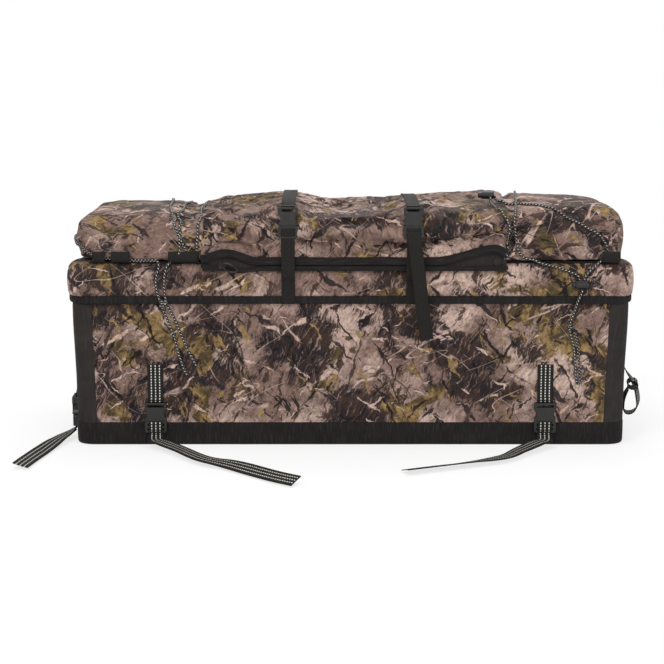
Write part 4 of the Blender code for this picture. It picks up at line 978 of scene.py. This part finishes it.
SIDE_BOW = (
    [(0.4536, -0.0980, 0.1360), (0.4540, -0.0980, 0.1270), (0.4600, -0.0990, 0.1150), (0.4690, -0.1010, 0.1020),
     (0.4765, -0.1030, 0.0880), (0.4800, -0.1040, 0.0740), (0.4810, -0.1050, 0.0600),
     (0.4770, -0.1040, 0.0490), (0.4680, -0.1010, 0.0435), (0.4595, -0.0985, 0.0460),
     (0.4570, -0.0980, 0.0580), (0.4590, -0.0985, 0.0720), (0.4650, -0.1000, 0.0850)],
    [(0, 1, 0), (0, 1, 0), (0.10, 0.99, 0), (0.20, 0.97, 0.10), (0.30, 0.94, 0.15), (0.35, 0.93, 0.10),
     (0.30, 0.95, 0), (0.20, 0.98, 0), (0.10, 0.99, 0), (0, 1, 0), (0, 1, 0), (0.10, 0.99, 0)],
)
TOP_TAIL = (
    [(0.1010, -0.1786, 0.3585), (0.1025, -0.1823, 0.3420), (0.1060, -0.1835, 0.3150), (0.1100, -0.1810, 0.2850),
     (0.1140, -0.1760, 0.2500), (0.1185, -0.1710, 0.2150), (0.1240, -0.1660, 0.1800)],
    [(1, 0, 0), (1, 0.02, 0), (1, 0.04, 0), (1, 0.06, 0), (1, 0.10, 0), (1, 0.16, 0), (1, 0.22, 0)],
)


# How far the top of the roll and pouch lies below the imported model, by place along the bag
TOP_DROP = (
    (-0.46, 0.010), (-0.37, 0.016), (-0.30, 0.016), (-0.245, 0.012), (-0.18, 0.004), (-0.11, -0.002), (-0.03, 0.008),
    (0.03, 0.009), (0.10, 0.004), (0.16, 0.000), (0.24, -0.002), (0.35, 0.002), (0.46, 0.004))


def top_drop(x, y):
    """Give how far the top is lowered at a place, more so towards the back."""
    drop = TOP_DROP[-1][1]
    for (near, first), (far, second) in zip(TOP_DROP, TOP_DROP[1:]):
        if near <= x <= far:
            drop = first + (second - first) * ease(x, near, far)
            break
    return drop + 0.006 * ease(y, -0.06, 0.12)


def slump(spot):
    """Lower a point of the roll or pouch with the soft top."""
    up = min(max((spot.z - 0.312) / 0.080, 0.0), 1.2)
    sag = end_sag(spot.x, spot.y) * (1 - 0.7 * min(up, 1.0))
    return Vector((spot.x, spot.y, spot.z - top_drop(spot.x, spot.y) * up * up - sag))


def roll_lumps(x, y, z):
    """Give how far the stuffed roll swells or dips at a place of its surface."""
    loose = 0.0040 * ripple(x, y, z, 9) + 0.0026 * ripple(x + 5, y, z * 1.3, 21)
    creases = 0.0022 * (1 - abs(ripple(x * 1.4, y * 0.7, z * 0.7, 26)) * 2)
    waist = -0.0030 * hump(x, -CINCH_X, 0.014) - 0.0020 * hump(x, CINCH_X, 0.014)
    left, right = SADDLE_X
    waist -= 0.0070 * ease(x, left + 0.004, left + 0.030) * ease(-x, -right + 0.004, -right + 0.030)
    fold = 0.0
    if y < -0.10:
        crest = 0.350 + 0.012 * math.sin((x - CINCH_X) * 22)
        if CINCH_X < x < 0.385:
            fade = math.sin(math.pi * (x - CINCH_X) / 0.123)
            fold = fade * (0.0060 * hump(z, crest - 0.016, 0.014) - 0.0055 * hump(z, crest + 0.004, 0.005))
    return loose + creases + waist + fold


def make_roll():
    """Make the stuffed roll, closed at both ends and pinched in under its cords."""
    ends = []
    power = 2 / 7.0
    for step in range(121):
        turn = math.pi * step / 120 - math.pi / 2
        c = max(math.cos(turn), 0.0)
        s = math.sin(turn)
        ends.append((math.copysign(abs(s) ** power, s) * ROLL_HALF[0], c ** power * 0.06, 0))
    ends = Line(ends)

    def place(s, t):
        x, size, _ = ends.at(t)
        size = max(size / 0.06, 0.012)
        y, z, _ = ROLL_SECTION.at(s % 1.0)
        tall = size if z > 0 else size ** 0.3
        spot = Vector((x, ROLL_MID[1] + y * size, ROLL_MID[2] + z * tall))
        outward = Vector((0.6 * x / ROLL_HALF[0] if size < 0.9 else 0.0, y, z * 3)).normalized()
        under = ease(spot.z, 0.306, 0.318)
        return slump(spot + outward * (roll_lumps(*spot) * under * min(1.0, size * 1.5)))

    def held(spot):
        cinched = max(hump(spot.x, -CINCH_X, 0.010), hump(spot.x, CINCH_X, 0.010))
        hidden = 1.0 if SADDLE_X[0] + 0.015 < spot.x < SADDLE_X[1] - 0.015 else 0.0
        return max(cinched, hidden, 1 - ease(spot.z, 0.306, 0.312))

    roll = lay_cloth("roll_cloth", 100, 220, place, (ROLL_SECTION.length, 0.98), CAMO, (8.0, 1.0), wrap=True,
                     caps=True)
    swell(roll, held, 0.07, 0.008)
    # The round ends are separate discs of cloth, so their print lies flat on them
    uv = roll.data.uv_layers.active.data
    for face in roll.data.polygons:
        if abs(face.normal.x) > 0.72 and abs(face.center.x) > 0.40:
            for corner in face.loop_indices:
                spot = roll.data.vertices[roll.data.loops[corner].vertex_index].co
                uv[corner].uv = (spot.y + 3.0, spot.z + 5.0)
    soften(roll)
    settle(roll, "lid", "camo_cloth", "top_roll")
    return roll


SADDLE_LINE = [
    (0.1408, 0.3076), (0.1406, 0.3250), (0.1402, 0.3479), (0.1398, 0.3606), (0.1392, 0.3700), (0.1368, 0.3795),
    (0.1280, 0.3890), (0.1085, 0.3955), (0.0810, 0.3985), (0.0523, 0.3994), (0.0054, 0.3996), (-0.0519, 0.3994),
    (-0.0773, 0.3992), (-0.1055, 0.3985), (-0.1319, 0.3955), (-0.1520, 0.3890), (-0.1632, 0.3790), (-0.1672, 0.3690),
    (-0.1690, 0.3600), (-0.1700, 0.3530), (-0.1690, 0.3465), (-0.1640, 0.3425), (-0.1608, 0.3405), (-0.1618, 0.3380),
    (-0.1650, 0.3345), (-0.1672, 0.3290), (-0.1676, 0.3220), (-0.1668, 0.3140), (-0.1664, 0.3085)]


def mouth_rise(x):
    """Give how far the pouch's upper edge is turned up at a place along it."""
    left = 0.013 * ease(-x, 0.148, 0.200) * (1 - 0.75 * ease(-x, 0.205, 0.241))
    return left + 0.020 * ease(x, 0.135, 0.236) * (1 - 0.6 * ease(x, 0.240, 0.253))


# Creases of the pouch cloth: (x, z) along each, its depth before it is deepened, and its half width
CREASE_GAIN = 1.6
CREASES = (
    (((-0.095, 0.3440), (-0.030, 0.3445), (0.020, 0.3435), (0.092, 0.3370)), 0.0070, 0.0040),
    (((-0.060, 0.3690), (-0.010, 0.3730), (0.040, 0.3720), (0.085, 0.3650)), 0.0030, 0.0035),
    (((-0.215, 0.3650), (-0.180, 0.3560), (-0.150, 0.3450), (-0.116, 0.3440)), 0.0050, 0.0040),
    (((0.116, 0.3390), (0.165, 0.3470), (0.205, 0.3580), (0.246, 0.3680)), 0.0060, 0.0038),
    (((-0.232, 0.3820), (-0.205, 0.3700), (-0.200, 0.3500)), 0.0030, 0.0040),
    (((0.150, 0.3860), (0.190, 0.3760), (0.235, 0.3800)), 0.0030, 0.0040))


def fold_depth(x, z):
    """Give the dip along the creases and the swell of cloth above them."""
    depth = 0.0
    for points, deep, wide in CREASES:
        for (x1, z1), (x2, z2) in zip(points, points[1:]):
            if x1 <= x <= x2 or x2 <= x <= x1:
                share = (x - x1) / (x2 - x1)
                away = z - (z1 + (z2 - z1) * share)
                ends = ease(abs(x - points[0][0]), 0.0, 0.014) * ease(abs(x - points[-1][0]), 0.0, 0.014)
                furrow = 0.75 * hump(away, 2.6 * wide, 2.2 * wide) - hump(away, 0.0, wide)
                depth += ends * CREASE_GAIN * deep * furrow
                break
    return depth


def keep_out(piece, other, clear):
    """Lift the points of a cloth that have sunk into what it lies on."""
    tree = surface_of(other)[0]
    for vert in piece.data.vertices:
        found, normal, _, _ = tree.find_nearest(vert.co, 0.03)
        if found is None:
            continue
        gap = (vert.co - found).dot(normal)
        if gap < clear:
            vert.co += normal * (clear - gap)


def make_saddle(roll):
    """Make the pouch cloth that lies over the roll, with the fold above its mouth."""
    left, right = SADDLE_X
    line = Line(smooth_route([(0, y, z) for y, z in SADDLE_LINE], 4))

    def place(s, t):
        x = left + (right - left) * s
        spot = line.at(t)
        y = spot.y
        z = spot.z
        front = ease(-y, 0.12, 0.155)
        low = ease(-z, -0.352, -0.318) * front
        z += mouth_rise(x) * low
        crest = 0.006 * ripple(x, 0.2, 0.7, 11) + 0.010 * ease(x, 0.14, 0.25)
        z += crest * front * hump(z, 0.345, 0.022)
        loose = 0.0036 * ripple(x * 1.1, y + z, 2.0, 13) + 0.0018 * ripple(x * 1.3, y - z, 5.0, 30)
        pinch = min(abs(abs(x) - STRAP_X) / 0.055, 1.0)
        tight = 0.25 + 0.75 * ease(pinch, 0.2, 1.0)
        belly = 0.0050 * front * hump(z, 0.364, 0.018) * tight
        out = Vector((0.0, y - ROLL_MID[1], (z - ROLL_MID[2]) * 3)).normalized()
        drop = 0.0022 * hump(abs(x), STRAP_X, 0.016) * front
        spot = slump(Vector((x, y, z)))
        return spot + out * (loose * tight + belly - drop + front * fold_depth(x, spot.z))

    def held(spot):
        strapped = hump(abs(spot.x), STRAP_X, 0.009)
        edge = 1.0 if spot.z < 0.318 + mouth_rise(spot.x) else 0.0
        back = 1.0 if spot.y > 0.08 else 0.0
        return max(strapped, edge, back, 0.15 * ease(spot.y, -0.10, 0.0))

    cloth = lay_cloth("saddle_cloth", 84, 104, place, (right - left, line.length), CAMO, (3.0, 8.0))
    swell(cloth, held, 0.05, 0.007, 2.0)
    keep_out(cloth, roll, 0.0012)
    thicken(cloth, 0.0022, 1.0)
    soften(cloth)
    settle(cloth, "lid", "camo_cloth", "saddle_pouch")
    return cloth


def band_along(name, route, height, deep, material, body, slot, *nodes):
    """Sew a folded binding along a dense route: a flat tube that stands `height` tall."""
    line = Line(route)

    def place(s, t):
        turn = 2 * math.pi * s
        way = line.along(t)
        up = Vector((0, 0, 1))
        up = (up - way * up.dot(way)).normalized()
        out = way.cross(up)
        tall = math.copysign(abs(math.sin(turn)) ** 0.5, math.sin(turn)) * height / 2
        wide = math.copysign(abs(math.cos(turn)) ** 0.6, math.cos(turn)) * deep / 2
        spot = line.at(t)
        return spot + up * tall + out * (wide + 0.0004 * ripple(spot.x, spot.z, 3.0, 40))

    steps = max(20, int(line.length * 220))
    made = lay_cloth(name, 20, steps, place, (2 * (height + deep), line.length), material, wrap=True, caps=True)
    return settle(made, body, slot, *nodes)


def make_pouch_mouth():
    """Make the pouch's mouth: lining, two bindings, its slider's oval pull and its end patch."""
    left, right = SADDLE_X
    upper = []
    lower = []
    for step in range(61):
        x = left - 0.001 + (right - left + 0.002) * step / 60
        high = 0.3098 + mouth_rise(x) + 0.0008 * ripple(x, 0, 0, 15)
        upper.append((x, -0.1672 - 0.0006 * ripple(x, 1, 0, 20), high))
        dip = -0.0050 * hump(x, -0.178, 0.028) + 0.0030 * hump(x, -0.235, 0.018) - 0.0012 * hump(x, 0.15, 0.05)
        lower.append((x, -0.1668, 0.2985 + dip + 0.0008 * ripple(x, 4, 0, 13)))
    band_along("pouch_upper_binding", upper, 0.0130, 0.0044, BAND_BLACK, "lid", "black_cloth", "pouch_binding_upper")
    band_along("pouch_lower_binding", lower, 0.0065, 0.0040, BAND_BLACK, "lid", "black_cloth", "pouch_binding_lower")

    def lining_spot(s, t):
        x = left + 0.001 + (right - left - 0.002) * s
        z = 0.2930 + 0.0420 * t
        return Vector((x, -0.1640 + 0.0040 * t + 0.0006 * ripple(x, z, 0, 24), z))

    lining = lay_cloth("pouch_lining", 120, 14, lining_spot, (right - left, 0.042), BLACK, (5, 5))
    settle(thicken(lining, 0.0012, 0.0), "lid", "black_cloth")
    ring = []
    for step in range(41):
        turn = 2 * math.pi * step / 40
        reach = 0.0118 + 0.0018 * math.cos(turn)
        ring.append((-0.1965 + reach * math.cos(turn), -0.1745 - 0.001 * math.cos(turn),
                     0.3000 + 0.0062 * math.sin(turn) - 0.004 * math.cos(turn)))
    pull = cord_tube("pouch_pull", ring, 0.0019, CAST)
    settle(pull, "pouch_slider", "zip_metal")
    patch = bmesh.new()
    place = Matrix.Translation((0.2365, -0.1652, 0.3075)) @ Matrix.Diagonal((0.0075, 0.0026, 0.0070, 1))
    bmesh.ops.create_uvsphere(patch, u_segments=24, v_segments=16, radius=1.0, matrix=place)
    uv = patch.loops.layers.uv.new("UVMap")
    for face in patch.faces:
        for loop in face.loops:
            loop[uv].uv = (loop.vert.co.x, loop.vert.co.z)
    settle(keep_mesh("pouch_end_patch", patch, BLACK), "lid", "black_cloth")


REAR_STRAP = [
    (-0.1663, 0.3984), (-0.1360, 0.3990), (-0.1086, 0.4012), (-0.0795, 0.4018), (-0.0532, 0.4020), (-0.0125, 0.4020),
    (0.0282, 0.4020), (0.0545, 0.4018), (0.0836, 0.4008), (0.1110, 0.3976), (0.1301, 0.3910), (0.1395, 0.3812),
    (0.1424, 0.3711), (0.1430, 0.3620), (0.1432, 0.3479), (0.1442, 0.3190), (0.1515, 0.3104), (0.1572, 0.3062),
    (0.1602, 0.2976), (0.1604, 0.2720), (0.1602, 0.2440)]
FRONT_STRAP = [(-0.1762, 0.3645), (-0.1778, 0.3560), (-0.1776, 0.3485), (-0.1753, 0.3286), (-0.1742, 0.3156),
               (-0.1739, 0.2889), (-0.1640, 0.2759), (-0.1600, 0.2500), (-0.1598, 0.2380)]


def make_straps(cloths):
    """Make the sewn straps over the top and down the front, and the tie-down webbing."""
    for side, sx in (("left", -1), ("right", 1)):
        x = sx * STRAP_X
        rear = in_plane(x, REAR_STRAP)
        kept = [point for point in rear if point.y < -0.158]
        rest = lay_on([point for point in rear if point.y >= -0.158], cloths, 0.0018, ROLL_MIDDLE, 0.05)
        strap = webbing(f"top_strap_rear_{side}_web", kept + rest, [(1, 0, 0)], TOP_WIDTH, PLAIN_WEB)
        settle(strap, "lid", "black_webbing", f"top_strap_rear_{side}")
        front = webbing(f"top_strap_front_{side}_web", in_plane(x, FRONT_STRAP), [(1, 0, 0)], TOP_WIDTH, PLAIN_WEB)
        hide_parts(f"top_strap_front_{side}")
        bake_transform(front)
        sewn = in_plane(sx * TIE_X, [(-0.1516, 0.1360), (-0.1517, 0.1000), (-0.1520, 0.0860), (-0.1550, 0.0735)])
        tie = webbing(f"tie_webbing_{side}_web", sewn, [(1, 0, 0)], TIE_WIDTH, DASHED_WEB)
        settle(tie, "root", "black_webbing", f"tie_webbing_{side}")
        in_ladder = in_plane(sx * TIE_X, [(-0.1592, 0.0415), (-0.1593, 0.0330), (-0.1592, 0.0250)])
        strip = webbing(f"tie_ladder_{side}_web", in_ladder, [(1, 0, 0)], 0.0235, DASHED_WEB)
        settle(strip, f"tie_plug_{side}", "black_webbing")
        box = 0.009
        for name, z in (("high", 0.1335), ("low", 0.1165)):
            row = [(sx * TIE_X - box, -0.1526, z), (sx * TIE_X + box, -0.1526, z)]
            stitch_row(f"tie_stitch_{name}_{side}", row, "root")
    out = -0.4541
    side_route = smooth_route([(out, -0.098, 0.1360), (out, -0.098, 0.1000), (out - 0.0004, -0.098, 0.0860),
                               (-0.4575, -0.098, 0.0735)], 5)
    side_web = webbing("side_webbing_left_web", side_route, [(0, 1, 0)], TIE_WIDTH, DASHED_WEB)
    settle(side_web, "root", "black_webbing", "side_webbing_left")


def free_strap(name, facts, width, material, node):
    points, sides = facts
    route = smooth_route(points, 6)
    strap = webbing(name, route, [tuple(side) for side in smooth_route(sides, 6)], width, material, 320)
    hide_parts(node)
    round(Line(route).length, 4)
    return strap


def make_free_straps():
    """Make the strap ends that lie on the floor, hang down the front or are tied up."""
    for side, sx in (("left", -1), ("right", 1)):
        tail = free_strap(f"tie_tail_{side}_web", TIE_TAILS[side], TIE_WIDTH, DASHED_WEB, f"tie_tail_{side}")
        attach(tail, "root")
        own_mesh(tail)
    tail = free_strap("side_tail_left_web", SIDE_TAIL, TIE_WIDTH, DASHED_WEB, "side_tail_left")
    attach(tail, "root")
    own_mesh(tail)
    tail = free_strap("top_tail_right_web", TOP_TAIL, TOP_WIDTH, PLAIN_WEB, "top_tail_right")
    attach(tail, "top_plug_right")
    wrap = []
    for step in range(25):
        turn = 2 * math.pi * step / 24
        out = math.cos(turn)
        wrap.append((0.4715 + 0.0085 * out, -0.1015 - 0.0010 * out, 0.0930 + 0.0070 * math.sin(turn)))
    tied = webbing("side_bow_knot_web", wrap, [(0.1, 1, 0.1)], 0.021, DASHED_WEB, 700)
    settle(tied, "root", "black_webbing")
    bow = free_strap("side_bow_right_web", SIDE_BOW, TIE_WIDTH, DASHED_WEB, "side_bow_right")
    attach(bow, "root")


def knot_at(name, spot, size, body):
    """Tie a small overhand knot: three turns of cord wound tight about a point."""
    route = []
    for step in range(73):
        turn = 2 * math.pi * 3 * step / 72
        roll = turn / 3
        ring = Vector((math.cos(turn), 0.62 * math.sin(turn), 0.35 * math.sin(2 * turn))) * size
        tilt = Matrix.Rotation(0.9 * math.sin(roll), 3, "X") @ Matrix.Rotation(roll, 3, "Y")
        route.append(Vector(spot) + tilt @ ring)
    return settle(cord_tube(name, route, CORD_RADIUS * 0.95), body, "elastic_cord")


def make_cords(cloths):
    """Make the laced cords, their knots and their free ends."""
    free = LEFT_FREE_POINTS
    laced = (
        ("lash_cord_left_outer", LEFT_OUTER[free - 1:], cloths[:1]),
        ("lash_cord_left_inner", LEFT_INNER[free - 1:], cloths[:1]),
        ("lash_cord_right_inner", RIGHT_INNER, cloths[:1]), ("lash_cord_right_outer", RIGHT_OUTER, cloths),
        ("lash_cord_right_over", RIGHT_OVER, cloths))
    for name, route, under in laced:
        dense = lay_on(smooth_route(route, 6), under, CORD_RADIUS + 0.0002, ROLL_MIDDLE)
        tube = cord_tube(f"{name}_braid", dense)
        settle(tube, "lid", "elastic_cord", name)
    for name, route in (("lash_end_left_outer", LEFT_OUTER[:free]), ("lash_end_left_inner", LEFT_INNER[:free])):
        declare_cord(name, route[::-1])
    tail = declare_cord("lash_tail_right_braid", TAIL_RIGHT)
    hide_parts("lash_tail_right")
    knot_at("lash_knot_left", (-0.3040, -0.1635, 0.2390), 0.0058, "lid")
    knot_at("lash_knot_right", (0.3585, -0.1545, 0.1990), 0.0052, "lid")


def declare_cord(name, route):
    """Make a free cord end, and work out its length, which is not kept."""
    dense = smooth_route(route, 6)
    tube = cord_tube(name, dense)
    settle(tube, "lid", "elastic_cord")
    round(Line(dense).length, 4)
    return tube


def make_keepers():
    """Make the webbing strips along the roll's foot and the tabs that hold the cord."""
    for name, y in (("lash_keeper_front", -0.1425), ("lash_keeper_back", 0.1425)):
        route = [(-0.424 + 0.848 * step / 60, y, 0.3050 + 0.0004 * ripple(step, y, 0, 0.7)) for step in range(61)]
        strip = webbing(f"{name}_web", route, [(0, 1, 0)], 0.018, PLAIN_WEB)
        settle(strip, "lid", "black_webbing", name)
    for index, (x, wide) in enumerate(((-0.4080, 0.020), (-0.3720, 0.030), (-0.2700, 0.050), (0.4210, 0.030))):
        route = smooth_route([(x, -0.1460, 0.3064), (x, -0.1570, 0.3068), (x, -0.1615, 0.3105), (x, -0.1622, 0.3170),
                              (x, -0.1606, 0.3240)], 6)
        tab = webbing(f"lash_tab_{index + 1}", route, [(1, 0, 0)], wide, PLAIN_WEB, 600)
        settle(tab, "lid", "black_webbing")


def rounded_copy(node, material, slot, body, width=0.0006):
    """Copy a moulded part, merge its skin and round its edges."""
    shape = bmesh.new()
    shape.from_mesh(frame["nodes"][node].data)
    bmesh.ops.remove_doubles(shape, verts=shape.verts, dist=1e-6)
    bmesh.ops.dissolve_limit(shape, angle_limit=math.radians(2), verts=shape.verts, edges=shape.edges)
    piece = keep_mesh(f"{node}_moulded", shape, material)
    piece.data.shade_flat()
    rim = piece.modifiers.new("rounded edges", "BEVEL")
    rim.width = width
    rim.segments = 2
    rim.limit_method = "ANGLE"
    rim.angle_limit = math.radians(35)
    rim.use_clamp_overlap = True
    return settle(piece, body, slot, node)


def body_of_node(node):
    """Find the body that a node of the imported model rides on."""
    for body, nodes in frame["record"]["behaviour"]["bodies"].items():
        if node in nodes:
            return body
    return "root"


def make_hardware():
    """Finish the buckles, cord locks and zip sliders."""
    moulded = [f"{stem}_buckle_{half}_{side}" for stem in ("top", "tie") for half in ("female", "male")
               for side in ("left", "right")]
    moulded += ["side_buckle_female_left", "side_buckle_male_left"]
    moulded += [f"cord_lock_{place}_{part}" for place in ("top", "front") for part in ("barrel", "button")]
    for node in moulded:
        rounded_copy(node, PLASTIC, "buckle_plastic", body_of_node(node))
    for node in ("zip_slider_left", "zip_slider_right", "zip_pull_left", "zip_pull_right", "pouch_zip_slider"):
        rounded_copy(node, CAST, "zip_metal", body_of_node(node), 0.0003)
    board = frame["nodes"]["base_stiffener"]
    board.data.materials.clear()
    board.data.materials.append(BOARD)


def make_stage():
    """Lay the white floor, and set the lamps, world and camera."""
    paint = Paint("white_floor", Roughness=0.9)
    paint.shader.inputs["Base Color"].default_value = (0.90, 0.90, 0.90, 1)
    rays = paint.tree.nodes.new("ShaderNodeLightPath")
    kinds = [Tone(paint, rays.outputs[f"Is {kind} Ray"]) for kind in ("Camera", "Glossy", "Transmission")]
    seen = paint.maths("MAXIMUM", paint.maths("MAXIMUM", kinds[0], kinds[1]), kinds[2])
    glow = paint.node("ShaderNodeEmission", Color=(1, 1, 1, 1), Strength=1.0)
    far = paint.node("ShaderNodeVectorMath", {"operation": "LENGTH"}, out=1, i0=paint.place())
    share = paint.step(far, 0.45, 1.3, 0.74, 1.0)
    mixed = paint.node("ShaderNodeMixShader", i0=seen * share, i1=Tone(paint, paint.shader.outputs[0]), i2=glow)
    paint.tree.links.new(mixed.socket, paint.tree.nodes["Material Output"].inputs["Surface"])
    shape = bmesh.new()
    bmesh.ops.create_grid(shape, x_segments=1, y_segments=1, size=9.0)
    floor = keep_mesh("studio_floor", shape, paint.material)
    floor.location.z = -0.0005
    world = bpy.data.worlds.new("studio")
    bpy.context.scene.world = world
    world.use_nodes = True
    nodes = world.node_tree.nodes
    links = world.node_tree.links
    back = nodes["Background"]
    back.inputs["Color"].default_value = (1, 1, 1, 1)
    rays = nodes.new("ShaderNodeLightPath")
    level = nodes.new("ShaderNodeMapRange")
    links.new(rays.outputs["Is Camera Ray"], level.inputs["Value"])
    level.inputs["To Min"].default_value = 0.40
    level.inputs["To Max"].default_value = 1.0
    links.new(level.outputs[0], back.inputs["Strength"])
    lamps = (
        ("key_lamp", (-0.9, -2.2, 2.3), 1.8, 52.0), ("fill_lamp", (1.6, -2.4, 1.2), 1.6, 24.0),
        ("top_lamp", (0.1, 0.3, 2.4), 1.8, 30.0), ("back_lamp", (0.3, 2.6, 1.6), 1.6, 22.0))
    for name, place, size, power in lamps:
        lamp = bpy.data.lights.new(name, "AREA")
        lamp.shape = "SQUARE"
        lamp.size = size
        lamp.energy = power
        made = bpy.data.objects.new(name, lamp)
        bpy.context.scene.collection.objects.link(made)
        made.location = place
        made.rotation_euler = (Vector((0, 0, 0.2)) - Vector(place)).to_track_quat("-Z", "Y").to_euler()
    lens = bpy.data.cameras.new("photo_camera")
    lens.sensor_fit = "HORIZONTAL"
    lens.sensor_width = 36.0
    lens.lens = lens.sensor_width * VIEW_DISTANCE / (PHOTO_PX * METRES_PER_PX)
    eye = bpy.data.objects.new("photo_camera", lens)
    bpy.context.scene.collection.objects.link(eye)
    eye.location = AIM + Vector((0, -math.cos(VIEW_ELEVATION), math.sin(VIEW_ELEVATION))) * VIEW_DISTANCE
    eye.rotation_euler = (AIM - eye.location).to_track_quat("-Z", "Y").to_euler()
    bpy.context.scene.camera = eye
    bpy.context.scene.view_settings.view_transform = "Standard"


make_stage()
make_body()
make_lid()
make_zip()
roll_cloth = make_roll()
saddle_cloth = make_saddle(roll_cloth)
make_pouch_mouth()
roll_tree, saddle_tree = surface_of(roll_cloth, saddle_cloth)
soft_surfaces = [(roll_tree, True), (saddle_tree, False)]
make_straps(soft_surfaces)
make_free_straps()
make_cords(soft_surfaces)
make_keepers()
make_hardware()
